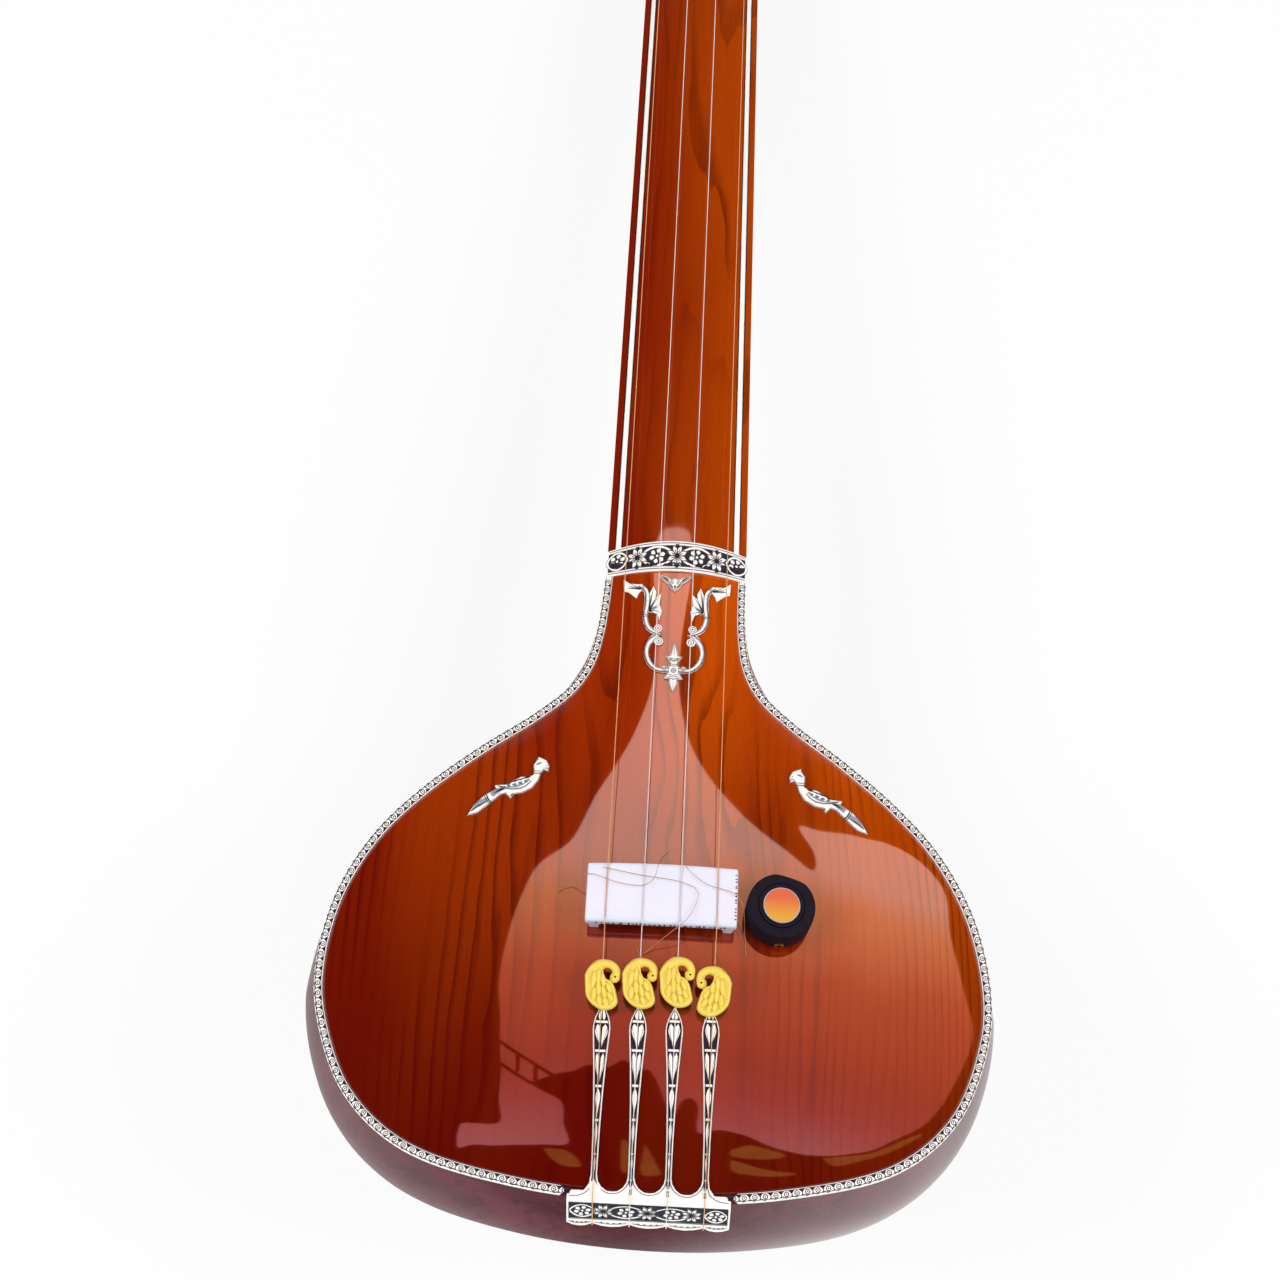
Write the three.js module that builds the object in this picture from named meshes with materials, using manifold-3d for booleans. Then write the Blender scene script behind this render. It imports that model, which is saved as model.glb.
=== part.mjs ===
// A four-stringed tanpura lying on its back, in millimetres.
// Its pieces are drawn in the instrument's own frame: x across the soundboard,
// y from the tail towards the head and z out of the soundboard, with z = 0 on the
// rim of the gourd. The last lines lay the whole instrument down on the floor.

import * as THREE from 'three';
import { mergeVertices } from 'three/addons/utils/BufferGeometryUtils.js';
import Module from 'manifold-3d';

const wasm = await Module();
wasm.setup();

// Seats and cutting tools
const seatGap = 0.3;
const toolOverrun = 8;
const weldDistance = 0.0005;

// Gourd and the wooden yoke that carries the neck
const bodyHalfWidth = 194;
const bodyLength = 392;
const bodyLean = -4.3;
const gourdDepth = 225;
const gourdWall = 8;
const rimLedge = 13;
const gourdSwell = 58;
const tailSwellLean = 10;
const tailSkew = 6;
const tailPull = 3;
const yokeLength = 92;
const backRunIn = 62;
const backRunOut = 133;
const backFlatShare = 0.69;
const sideDropShare = 0.6;
const swellPower = 2;
const restFlatDrop = 2.4;

// Soundboard and the binding round it
const tabliThickness = 3.8;
const tabliCrown = 14.5;
const tabliCrownPower = 2.2;
const bindingWidth = 5;
const bindingHeight = 4.3;
const bindingRound = 0.7;
const bindingEndX = 46;

// Neck
const neckHalfWidth = 44.4;
const headHalfWidth = 41;
const neckDepth = 62;
const headDepth = 53;
const neckWall = 9;
const headLength = 171.5;
const neckPlateThickness = 4;
const neckPlateCrown = 2;
const stripWidth = 4.2;
const stripMargin = 4.4;
const stripDepth = 1.3;
const tenonReach = 44;
const headCapLength = 15;
const capInset = 1;

// Engraved band over the joint of neck and soundboard
const bandSetback = 10;
const bandHeight = 18;
const bandFootArch = 5.6;
const bandTopArch = 9;
const bandThickness = 1.1;

// Strings and what they run over. Steel ones lie between the two bronze outer ones.
const stringCount = 4;
const stringSpacing = 21;
const stringRadius = 0.3;
const bridgeWidth = 86;
const bridgeDepth = 34;
const bridgePlaceShare = 0.419643;
const bridgeTopZ = 36.5;
const bridgeCrown = 1;
const bridgePlateHeight = 7;
const bridgeFootWidth = 6.5;
const bridgeFootTaper = 1.4;
const bridgeBoardHeight = 3.2;
const bridgeBaseInset = 1;
const bridgeArchRound = 4;
const bridgeEdgeRound = 1.6;
const bridgeBow = 1.2;
const scaleLength = 860;
const nutWidth = 66;
const nutThickness = 4.6;
const nutHeight = 15.5;
const nutRound = 0.8;
const slotDepth = 2;
const nutGrooveDepth = 0.5;
const guideSetback = 20;
const guideHeight = 17;
const guideHoleRadius = 1;
const guideHoleDrop = 5;

// Tail plate with its four fingers, the rail under it and the hitch pins
const fingerSpacing = 20.3;
const fingerTipSetback = 60.5;
const fingerHalfWidth = 4.9;
const fingerWaistHalfWidth = 1.7;
const fingerWidestSetback = 74.5;
const fingerFootY = 13;
const tailPlateHalfWidth = 44.6;
const tailPlateThickness = 0.9;
const tailBarTopY = 2.6;
const tailBendY = -0.6;
const tailBarLength = 20.5;
const tailBarSlope = 1.074;
const scallopDepth = 2.6;
const railInnerStep = 5;
const railEndMargin = 1.2;
const railDrop = 14;
const notchRunOut = 0.8;
const hitchPinRadius = 0.9;
const hitchPinHeadRadius = 1.9;
const hitchPinHeadThickness = 0.8;
const hitchPinLength = 24;
const hitchPinDrop = 18.5;
const pinStandOff = 0.6;
const tailBlockInnerY = 18;
const tailBlockHeight = 40;
const tailBlockTop = 8;

// Tuning beads
const beadWidth = 20.2;
const beadLength = 28.4;
const beadThickness = 10;
const beadBevel = 1.8;
const beadEyeletRadius = 1.7;
const beadBoreRadius = 0.8;
const beadFirstSetback = 52.1;
const beadStepY = 1.6;
const beadFourthSetback = 53.1;

// Pegs
const pegShaftRadius = 6;
const pegTipRadius = 4.4;
const pegHoleClearance = 0.4;
const pegHeadRadius = 14;
const pegHeadLength = 42;
const pegShaftShow = 17;
const pegSeatLength = 24;
const headBlockSetback = 77.5;
const headBlockDepth = 26;
const sidePegSetback = 67.5;
const sidePegDrop = 13;
const frontPegFirstSetback = 93.5;
const frontPegSecondSetback = 133.5;
const windingTurns = 4;
const windingPitch = 1.1;
const windingStart = 6;
const stringEndGap = 3.4;
const edgeClearance = 0.55;

// Contact pickup beside the bridge
const pickupAside = 4.4;
const pickupDrop = 4;
const pickupRadius = 19.6;
const pickupHeight = 17;
const pickupWall = 2.4;
const pickupRoof = 2.6;
const pickupChordHalf = 7.6;
const pickupChordTurn = -0.28;
const pickupBevel = 1.1;
const pickupCapRadius = 13;
const pickupCapThickness = 1.4;
const pickupGroove = 0.5;
const pickupLabelRadius = 10.5;
const pickupLabelThickness = 0.35;
const pickupPadThickness = 0.8;
const piezoRadius = 12.5;
const piezoThickness = 0.6;
const jackRadius = 2.9;
const jackBoreRadius = 1.75;
const jackLength = 13;
const jackCentreHeight = 5;
const jackProud = 0.6;
const jackEndWall = 1;

// Loose cotton threads on the bridge
const threadRadius = 0.2;

// Inlays on the soundboard
const inlayThickness = 0.8;
const inlayGap = 0.45;
const scrollX = 0.9;
const scrollSetback = 90.7;
const scrollHeight = 79;
const leafX = -0.5;
const leafSetback = 13.4;
const leafHalfWidth = 11.1;
const birdX = 1;
const birdTailMargin = 75;
const birdTailRise = 51;
const birdLength = 48.5;

// Number of facets
const outlineSteps = 60;
const sectionSteps = 9;
const backSteps = 12;
const boardEndSteps = 6;
const stringSides = 6;
const windingSteps = 10;
const windingSides = 5;
const threadSteps = 26;
const threadSides = 8;
const turnedSides = 14;
const pickupSides = 28;
const pinSides = 8;
const curveSegments = 4;
const beadSteps = 22;
const bevelSegments = 2;
const bridgeFootSteps = 3;
const capEvery = 3;
const stemSteps = 2;
const restTries = 40;
const inlayFineness = 16;
const bandFineness = 18;
const tailFineness = 24;

const material = (color, roughness, metalness = 0) =>
  new THREE.MeshStandardMaterial({ color, roughness, metalness });
const redWood = material(0x8f2e10, 0.25);
const plateWood = material(0xa8400f, 0.25);
const gourdSkin = material(0x4a1820, 0.3);
const plainWood = material(0xb98a58, 0.7);
const ivoryWhite = material(0xe9e6dc, 0.45);
const bridgeWhite = material(0xe6e3f2, 0.4);
const steel = material(0xc4c6c9, 0.3, 1);
const bronze = material(0xb4703c, 0.35, 1);
const beadYellow = material(0xd9b02c, 0.5);
const blackPlastic = material(0x141416, 0.5);
const brass = material(0xb99a55, 0.3, 1);
const goldThread = material(0xb98242, 0.9);
const foam = material(0x2a2a2c, 0.95);
const discRed = material(0xd4471a, 0.35);

// Meshes and solids

const instrument = new THREE.Group();

function addPiece(name, geometry, finish, carrier = instrument) {
  const mesh = new THREE.Mesh(geometry, finish);
  mesh.name = name;
  carrier.add(mesh);
  return mesh;
}

function signedVolume(points, faces) {
  let total = 0;
  const a = new THREE.Vector3();
  const b = new THREE.Vector3();
  const c = new THREE.Vector3();
  for (let i = 0; i < faces.length; i += 3) {
    a.fromArray(points, faces[i] * 3);
    b.fromArray(points, faces[i + 1] * 3);
    c.fromArray(points, faces[i + 2] * 3);
    total += a.dot(b.cross(c));
  }
  return total;
}

// Welds the vertices, drops triangles that have collapsed and turns the faces outward.
function weld(geometry) {
  geometry.deleteAttribute('normal');
  geometry.deleteAttribute('uv');
  const merged = mergeVertices(geometry, weldDistance);
  const points = merged.attributes.position.array;
  const faces = [];
  for (let i = 0; i < merged.index.count; i += 3) {
    const [a, b, c] = [merged.index.getX(i), merged.index.getX(i + 1), merged.index.getX(i + 2)];
    if (a !== b && b !== c && c !== a) faces.push(a, b, c);
  }
  if (signedVolume(points, faces) < 0) faces.reverse();
  merged.setIndex(faces);
  return merged;
}

function fromRings(positions, faces) {
  const geometry = new THREE.BufferGeometry();
  geometry.setAttribute('position', new THREE.Float32BufferAttribute(positions, 3));
  geometry.setIndex(faces);
  return weld(geometry);
}

// A closed solid through rings of equal count, with a fan over each end. A last ring
// that is folded flat on itself needs no fan.
function loft(rings, foldedEnd = false) {
  const positions = [];
  const faces = [];
  const count = rings[0].length;
  for (const p of rings.flat()) positions.push(p.x, p.y, p.z);
  for (let i = 0; i + 1 < rings.length; i++) {
    for (let j = 0; j < count; j++) {
      const k = (j + 1) % count;
      const [a, b, c, d] = [i * count + j, i * count + k, (i + 1) * count + k, (i + 1) * count + j];
      faces.push(a, b, c, a, c, d);
    }
  }
  const ends = foldedEnd ? [[rings[0], 0]] : [[rings[0], 0], [rings.at(-1), (rings.length - 1) * count]];
  for (const [ring, start] of ends) {
    const hub = positions.length / 3;
    const middle = new THREE.Vector3();
    for (const p of ring) middle.addScaledVector(p, 1 / count);
    positions.push(middle.x, middle.y, middle.z);
    for (let j = 0; j < count; j++) {
      const k = (j + 1) % count;
      if (start === 0) faces.push(hub, start + k, start + j);
      else faces.push(hub, start + j, start + k);
    }
  }
  return fromRings(positions, faces);
}

// A wall between two grids of points of the same size. Their open edges are joined. A last
// row that is folded flat on itself closes the grid by itself.
function shell(outer, inner, foldedEnd = false) {
  const rows = outer.length;
  const columns = outer[0].length;
  const positions = [];
  for (const p of [outer, inner].flat(2)) positions.push(p.x, p.y, p.z);
  const at = (side, i, j) => side * rows * columns + i * columns + j;
  const faces = [];
  const quad = (a, b, c, d) => faces.push(a, b, c, a, c, d);
  const spans = columns - 1;
  for (let i = 0; i + 1 < rows; i++) {
    for (let j = 0; j < spans; j++) {
      quad(at(0, i, j), at(0, i, j + 1), at(0, i + 1, j + 1), at(0, i + 1, j));
      quad(at(1, i, j), at(1, i + 1, j), at(1, i + 1, j + 1), at(1, i, j + 1));
    }
    quad(at(0, i, 0), at(0, i + 1, 0), at(1, i + 1, 0), at(1, i, 0));
    quad(at(0, i, spans), at(1, i, spans), at(1, i + 1, spans), at(0, i + 1, spans));
  }
  for (let j = 0; j < spans; j++) {
    quad(at(0, 0, j), at(1, 0, j), at(1, 0, j + 1), at(0, 0, j + 1));
    if (foldedEnd) continue;
    quad(at(0, rows - 1, j), at(0, rows - 1, j + 1), at(1, rows - 1, j + 1), at(1, rows - 1, j));
  }
  return fromRings(positions, faces);
}

function solidOf(geometry) {
  const welded = weld(geometry.clone());
  return new wasm.Manifold(new wasm.Mesh({
    numProp: 3,
    vertProperties: new Float32Array(welded.attributes.position.array),
    triVerts: new Uint32Array(welded.index.array),
  }));
}

function geometryOf(solid) {
  const mesh = solid.getMesh();
  const geometry = new THREE.BufferGeometry();
  const points = [];
  for (let i = 0; i < mesh.vertProperties.length; i += mesh.numProp) {
    points.push(...mesh.vertProperties.slice(i, i + 3));
  }
  geometry.setAttribute('position', new THREE.Float32BufferAttribute(points, 3));
  geometry.setIndex(Array.from(mesh.triVerts));
  return geometry;
}

function carve(geometry, tools) {
  let solid = solidOf(geometry);
  for (const tool of tools) solid = solid.subtract(solidOf(tool));
  return geometryOf(solid);
}

function fuse(geometries) {
  let solid = solidOf(geometries[0]);
  for (const other of geometries.slice(1)) solid = solid.add(solidOf(other));
  return geometryOf(solid);
}

function common(first, second) {
  return geometryOf(solidOf(first).intersect(solidOf(second)));
}

function boxBetween(x0, x1, y0, y1, z0, z1) {
  const box = new THREE.BoxGeometry(x1 - x0, y1 - y0, z1 - z0);
  box.translate((x0 + x1) / 2, (y0 + y1) / 2, (z0 + z1) / 2);
  return box;
}

// A cylinder or cone from one point to another.
function rod(from, to, radiusFrom, radiusTo = radiusFrom, sides = turnedSides) {
  const length = from.distanceTo(to);
  const geometry = new THREE.CylinderGeometry(radiusTo, radiusFrom, length, sides);
  geometry.translate(0, length / 2, 0);
  const up = new THREE.Vector3(0, 1, 0);
  const turn = new THREE.Quaternion().setFromUnitVectors(up, to.clone().sub(from).normalize());
  geometry.applyQuaternion(turn);
  geometry.translate(from.x, from.y, from.z);
  return geometry;
}

const point = (x = 0, y = 0, z = 0) => new THREE.Vector3(x, y, z);
const mix = THREE.MathUtils.lerp;
const strings = Array.from({ length: stringCount }, (_, k) => k);
const isOuter = (k) => k === 0 || k === stringCount - 1;
const stringX = (k, spacing) => (k - (stringCount - 1) / 2) * spacing;
const ease = (value, from, to) => THREE.MathUtils.smoothstep(value, from, to);

const bindingEndShares = [[0.75, 0], [0.93, 0.35], [1, 0.75]];
const bridgeStationShares = [-1, -0.976, -0.5, 0, 0.5, 0.976, 1];
const bridgeSectionShares = [
  [-1, 1], [-0.97, 0.3], [-0.9, 0], [-0.5, 0], [0, 0], [0.5, 0], [0.9, 0], [0.97, 0.3], [1, 1],
];
const pinDomeShare = 0.6;
const halfShare = 0.5;

// Body outline, seen from the front

// Shares of the half width and of the length, from the tail to the widest place.
const lowerOutlineShares = [[0, 0], [0.39, 0.0145], [0.709, 0.0574], [0.884, 0.13], [0.98, 0.236]];
// Above it the first share is of what the body stands out past the neck.
const widestShare = 0.3125;
const upperOutlineShares = [
  [1, widestShare], [0.953, 0.4245], [0.831, 0.521], [0.663, 0.597], [0.443, 0.671],
  [0.243, 0.729], [0.106, 0.779], [0.045, 0.8225], [0.015, 0.881], [0, 1],
];
const bodyCentreY = widestShare * bodyLength;
const yokeStartY = bodyLength - yokeLength;
const bridgeCentreY = bridgePlaceShare * bodyLength;

const lower = lowerOutlineShares.map(([across, along]) => point(across * bodyHalfWidth, along * bodyLength));
const upper = upperOutlineShares.map(([across, along]) =>
  point(mix(neckHalfWidth, bodyHalfWidth, across), along * bodyLength));
const rightSide = [...lower, ...upper];
const leftSide = rightSide.slice(1).map((p) => point(-p.x, p.y));

// From the right corner at the neck round the tail to the left corner.
const outlineCurve = new THREE.CatmullRomCurve3([...rightSide.reverse(), ...leftSide], false, 'centripetal');
const rightHalf = outlineCurve.getSpacedPoints(outlineSteps).slice(0, outlineSteps / 2);
const tailCentre = point(0, 0);
const leftHalf = rightHalf.map((p) => point(-p.x, p.y)).reverse();
const evenOutline = [...rightHalf, tailCentre, ...leftHalf];

// The gourd grew a little to the left of the string line.
const leanAt = (y) => bodyLean * Math.sin(Math.PI * THREE.MathUtils.clamp(y / bodyLength, 0, 1));
const leaned = (p) => point(p.x + leanAt(p.y), p.y, p.z);

const outline = evenOutline.map(leaned);

// Unit normals of the outline, pointing away from the body. Both ends face sideways.
function normalsOf(points) {
  return points.map((p, i) => {
    if (i === 0 || i === points.length - 1) return point(Math.sign(p.x), 0);
    const along = points[i + 1].clone().sub(points[i - 1]).normalize();
    const normal = point(-along.y, along.x);
    return normal.dot(p.clone().sub(point(0, bodyCentreY))) < 0 ? normal.negate() : normal;
  });
}

const outward = normalsOf(outline);
const insetOutline = (distance) => outline.map((p, i) => p.clone().addScaledVector(outward[i], -distance));

// Sections of the neck and body. Each is a smooth curve from the right edge under to the
// left edge, through four handles on each side.

function section(y, half, depth, swell, steps) {
  const right = new THREE.CubicBezierCurve3(
    point(half, y),
    point(half + swell, y, -sideDropShare * depth),
    point(backFlatShare * half, y, -depth),
    point(0, y, -depth),
  ).getPoints(steps);
  const left = right.slice(0, -1).reverse().map((p) => point(-p.x, p.y, p.z));
  return [...right, ...left];
}

const nutY = bridgeCentreY + scaleLength;
const neckEndY = nutY + headLength;
const headShare = (y) => Math.max((y - bodyLength) / (neckEndY - bodyLength), 0);
const neckHalfAt = (y) => mix(neckHalfWidth, headHalfWidth, headShare(y));
const neckDepthAt = (y) => mix(neckDepth, headDepth, headShare(y));
const neckSection = (y, inset) =>
  section(y, neckHalfAt(y) - inset, neckDepthAt(y) - inset, 0, sectionSteps);

// Half width of the outline at a height between the widest place and the neck.
function outlineHalfAt(y) {
  for (let i = 1; i < evenOutline.length; i++) {
    const [above, below] = [evenOutline[i - 1], evenOutline[i]];
    if (below.y <= y) return mix(below.x, above.x, (y - below.y) / (above.y - below.y));
  }
  return bodyHalfWidth;
}

// Gourd and yoke. From the joint to the widest place the skin is a row of sections. Round
// the tail it is a fan of curves that all end at the bottom of the gourd.
function bodySkin(inset, depthInset) {
  const rows = [];
  const bottom = gourdDepth - depthInset;
  const back = new THREE.CubicBezierCurve(
    new THREE.Vector2(bodyLength, neckDepth - inset),
    new THREE.Vector2(bodyLength - backRunIn, neckDepth - inset),
    new THREE.Vector2(bodyCentreY + backRunOut, bottom),
    new THREE.Vector2(bodyCentreY, bottom),
  );
  for (const at of back.getPoints(backSteps)) {
    const spread = (outlineHalfAt(at.x) - neckHalfWidth) / (bodyHalfWidth - neckHalfWidth);
    const half = outlineHalfAt(at.x) - mix(inset, (inset * rimLedge) / neckWall, spread);
    rows.push(section(at.x, half, at.y, gourdSwell * spread ** swellPower, sectionSteps));
  }
  const tail = evenOutline.slice(0, outlineSteps / 2 + 1).filter((p) => p.y < bodyCentreY);
  const ledge = (inset * rimLedge) / neckWall;
  tail.forEach((p, i) => {
    const [before, after] = [tail[i - 1] ?? point(bodyHalfWidth, bodyCentreY), tail[i + 1]];
    const along = (after ?? point(-before.x, before.y)).clone().sub(before).normalize();
    const away = point(-along.y, along.x);
    const rim = p.clone().addScaledVector(away, -ledge);
    const handle = rim.clone().addScaledVector(away, gourdSwell);
    handle.z = -sideDropShare * bottom;
    const flat = point(backFlatShare * rim.x, mix(bodyCentreY, rim.y, backFlatShare), -bottom);
    const bend = new THREE.CubicBezierCurve3(rim, handle, flat, point(0, bodyCentreY, -bottom));
    const right = bend.getPoints(sectionSteps);
    const left = right.slice(0, -1).reverse().map((q) => point(-q.x, q.y, q.z));
    rows.push([...right, ...left]);
  });
  return rows.map((row) => row.map(settle));
}

// Leans the gourd, more below the rim than at it. Its tail leans back the other way, and
// swells out further at the right than at the left.
function settle(p) {
  const tailward = Math.max((bodyCentreY - p.y) / bodyCentreY, 0);
  const below = Math.sin(Math.PI * Math.min(-p.z / gourdDepth, 1));
  const lean = leanAt(p.y) * (1 + below) - tailSwellLean * tailward ** 2 * below;
  const swell = (tailSkew * p.x) / bodyHalfWidth - tailPull;
  return point(p.x + lean, p.y - swell * tailward * below, p.z);
}

const outerSkin = bodySkin(0, 0);
const innerSkin = bodySkin(neckWall, gourdWall);
const bodyShell = shell(outerSkin, innerSkin, true);
const reach = bodyLength + bodyHalfWidth + gourdDepth;
const pastYoke = boxBetween(-reach, reach, yokeStartY - seatGap / 2, reach, -reach, reach);
const beforeYoke = boxBetween(-reach, reach, -reach, yokeStartY + seatGap / 2, -reach, reach);
const pastJoint = boxBetween(-reach, reach, bodyLength - seatGap / 2, reach, -reach, reach);

// How far the instrument tips over when it lies on its gourd and on the back of its head.
function lowestGourd(tilt) {
  let best = point(0, 0, Infinity);
  for (const p of outerSkin.flat()) {
    const height = p.z * Math.cos(tilt) - p.y * Math.sin(tilt);
    if (height < best.z) best = point(p.x, p.y, height);
  }
  return best;
}

function restingTilt() {
  let tilt = 0;
  for (let i = 0; i < restTries; i++) {
    const floor = lowestGourd(tilt).z + restFlatDrop;
    tilt = Math.asin((-floor - headDepth * Math.cos(tilt)) / neckEndY);
  }
  return tilt;
}

const tilt = restingTilt();
const lowest = lowestGourd(tilt);
const floorLevel = lowest.z + restFlatDrop;
const restPoint = point(0, lowest.y, 0);

instrument.rotation.x = -tilt;
instrument.updateMatrixWorld();
const restInRow = point(restPoint.x, lowest.y, lowest.z).applyMatrix4(instrument.matrixWorld);
instrument.position.set(0, -restInRow.y, -floorLevel);
instrument.updateMatrixWorld();

const floorTool = boxBetween(-reach, reach, -reach, reach, -reach, 0);
floorTool.applyMatrix4(instrument.matrixWorld.clone().invert());

// Inside of the body and of the neck, shrunk by the seat gap, for the blocks glued in there.
const neckStart = bodyLength + seatGap / 2;
const boardEnd = bodyLength - seatGap / 2;
const neckSpan = (from, to, inset) => loft([neckSection(from, inset), neckSection(to, inset)]);
const bodyRoom = loft(bodySkin(neckWall + seatGap, gourdWall + seatGap), true);
const neckRoom = neckSpan(boardEnd - toolOverrun, neckEndY, neckWall + seatGap);

// Soundboard, binding and everything that follows their surface

const boardMiddle = point(leanAt(bodyCentreY), bodyCentreY);
const tabliSide = insetOutline(bindingWidth + seatGap).map((p) => point(p.x, Math.min(p.y, boardEnd)));
const tabliLoop = [...tabliSide];
for (let i = 1; i < boardEndSteps; i++) {
  tabliLoop.push(tabliSide.at(-1).clone().lerp(tabliSide[0], i / boardEndSteps));
}

// How far out a place lies on the soundboard: 0 in the middle, 1 at the edge. Round the
// tail it is measured from the middle of the board, and above it straight across.
function edgeShare(x, y) {
  if (y > bodyCentreY) {
    const next = tabliSide.findIndex((p) => p.y <= y);
    if (next < 1) return Math.abs(x) / (neckHalfWidth - bindingWidth - seatGap);
    const [above, below] = [tabliSide[next - 1], tabliSide[next]];
    const half = mix(below.x, above.x, (y - below.y) / (above.y - below.y)) - leanAt(y);
    return Math.min(Math.abs(x - leanAt(y)) / half, 1);
  }
  const place = point(x, y).sub(boardMiddle);
  const cross = (a, b) => a.x * b.y - a.y * b.x;
  let share = 0;
  for (let i = 0; i < tabliLoop.length; i++) {
    const a = tabliLoop[i].clone().sub(boardMiddle);
    const b = tabliLoop[(i + 1) % tabliLoop.length].clone().sub(boardMiddle);
    const alongA = cross(place, b) / cross(a, b);
    const alongB = cross(a, place) / cross(a, b);
    if (alongA >= 0 && alongB >= 0) share = Math.max(share, alongA + alongB);
  }
  return Math.min(share, 1);
}

// The arch of the soundboard dies away into that of the neck plate.
function tabliTop(x, y) {
  const crown = mix(tabliCrown, neckPlateCrown, ease(y, bodyCentreY, bodyLength));
  return seatGap + tabliThickness + crown * (1 - edgeShare(x, y) ** tabliCrownPower);
}

const plateTop = (x, y) =>
  seatGap + neckPlateThickness + neckPlateCrown * (1 - (x / neckHalfAt(y)) ** 2);

const tabliRingShares = [0.14, 0.44, 0.68, 0.86, 1];
function tabliRing(share, drop) {
  const ring = tabliLoop.map((edge) => boardMiddle.clone().lerp(edge, share));
  for (const p of ring) p.z = tabliTop(p.x, p.y) - drop;
  return ring;
}
const tabliUnder = tabliRingShares.map((share) => tabliRing(share, tabliThickness));
const tabliOver = tabliRingShares.map((share) => tabliRing(share, 0)).reverse();

// One half of the rim binding. It ends round, beside the tail plate.
function binding(side) {
  const runs = (p) => p.x * side > (p.y > bodyCentreY ? 0 : bindingEndX);
  const places = outline.map((p, i) => ({ p, away: outward[i] })).filter(({ p }) => runs(p));
  if (side < 0) places.reverse();
  const last = places.at(-1);
  const count = places.length;
  const beyond = outline[side > 0 ? count : outline.length - 1 - count];
  const tailward = (bindingEndX - last.p.x * side) / (beyond.x * side - last.p.x * side);
  for (const [step, narrowing] of bindingEndShares) {
    places.push({ p: last.p.clone().lerp(beyond, tailward * step), away: last.away, narrowing });
  }
  const top = bindingHeight;
  return loft(places.map(({ p, away, narrowing = 0 }) => {
    const pinch = (bindingWidth / 2) * narrowing;
    const section = [
      [pinch, seatGap], [pinch, top - bindingRound], [pinch + bindingRound, top],
      [bindingWidth - pinch - bindingRound, top], [bindingWidth - pinch, top - bindingRound],
      [bindingWidth - pinch, seatGap],
    ];
    return section.map(([inset, z]) => {
      const q = p.clone().addScaledVector(away, -inset);
      return point(q.x, Math.min(q.y, boardEnd), z);
    });
  }));
}

// A flat outline made into a thin sheet that is bent onto the surface under it.
function slab(shape, thickness) {
  return new THREE.ExtrudeGeometry(shape, { depth: thickness, bevelEnabled: false, curveSegments });
}

// Splits edges once, each at the place that a rule gives for it.
function splitEdges({ points, faces }, placeOn) {
  const splits = new Map();
  const corners = [...points];
  const finer = faces.flatMap((face) => {
    const ring = [];
    face.forEach((a, i) => {
      const b = face[(i + 1) % 3];
      const edge = `${Math.min(a, b)} ${Math.max(a, b)}`;
      if (!splits.has(edge)) {
        const place = placeOn(corners[a], corners[b]);
        splits.set(edge, place && corners.push(place) - 1);
      }
      ring.push(a);
      if (splits.get(edge) !== undefined) ring.push(splits.get(edge));
    });
    const first = Math.max(ring.findIndex((corner) => !face.includes(corner)), 0);
    const turned = [...ring.slice(first), ...ring.slice(0, first)];
    return turned.slice(2).map((corner, i) => [turned[0], turned[i + 1], corner]);
  });
  return { points: corners, faces: finer };
}

// Bends a flat sheet. It has corners all along the line where the surface under it breaks.
function drape(flat, fineness, place, breakY) {
  const { attributes: { position }, index } = weld(flat);
  const points = Array.from({ length: position.count }, (_, i) => point().fromBufferAttribute(position, i));
  const faces = Array.from({ length: index.count / 3 }, (_, i) => index.array.slice(3 * i, 3 * i + 3));
  let mesh = { points, faces };
  const crosses = (a, b) => (a.y - breakY) * (b.y - breakY) < 0;
  const onBreak = (a, b) => a.clone().lerp(b, (breakY - a.y) / (b.y - a.y));
  mesh = splitEdges(mesh, (a, b) => (crosses(a, b) ? onBreak(a, b) : undefined));
  for (let before = 0; before < mesh.faces.length;) {
    before = mesh.faces.length;
    mesh = splitEdges(mesh, (a, b) =>
      (a.distanceTo(b) > fineness ? a.clone().lerp(b, halfShare) : undefined));
  }
  const bent = mesh.points.flatMap((p) => place(p.x, p.y, p.z).toArray());
  return fromRings(bent, mesh.faces.flatMap((face) => [...face]));
}

const onTabli = (x, y, z) => point(x, y, tabliTop(x, y) + inlayGap + z);

const shapeThrough = (points) => new THREE.Shape(points.map((p) => new THREE.Vector2(p.x, p.y)));

// A stem of scrollwork: a smooth line through some places, with a width at each.
function stem(places) {
  const line = new THREE.CatmullRomCurve3(places.map(([x, y]) => point(x, y)), false, 'centripetal');
  const widths = new THREE.CatmullRomCurve3(places.map((place, i) => point(i, place[2])));
  const steps = (places.length - 1) * stemSteps;
  const near = [];
  const far = [];
  for (let i = 0; i <= steps; i++) {
    const along = line.getTangent(i / steps);
    const side = point(-along.y, along.x);
    const half = widths.getPoint(i / steps).y;
    const middle = line.getPoint(i / steps);
    near.push(middle.clone().addScaledVector(side, half));
    far.unshift(middle.clone().addScaledVector(side, -half));
  }
  return shapeThrough([...near, ...far]);
}

function disc(x, y, radius) {
  const shape = new THREE.Shape();
  shape.absarc(x, y, radius, 0, Math.PI * 2);
  return shape;
}

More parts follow.
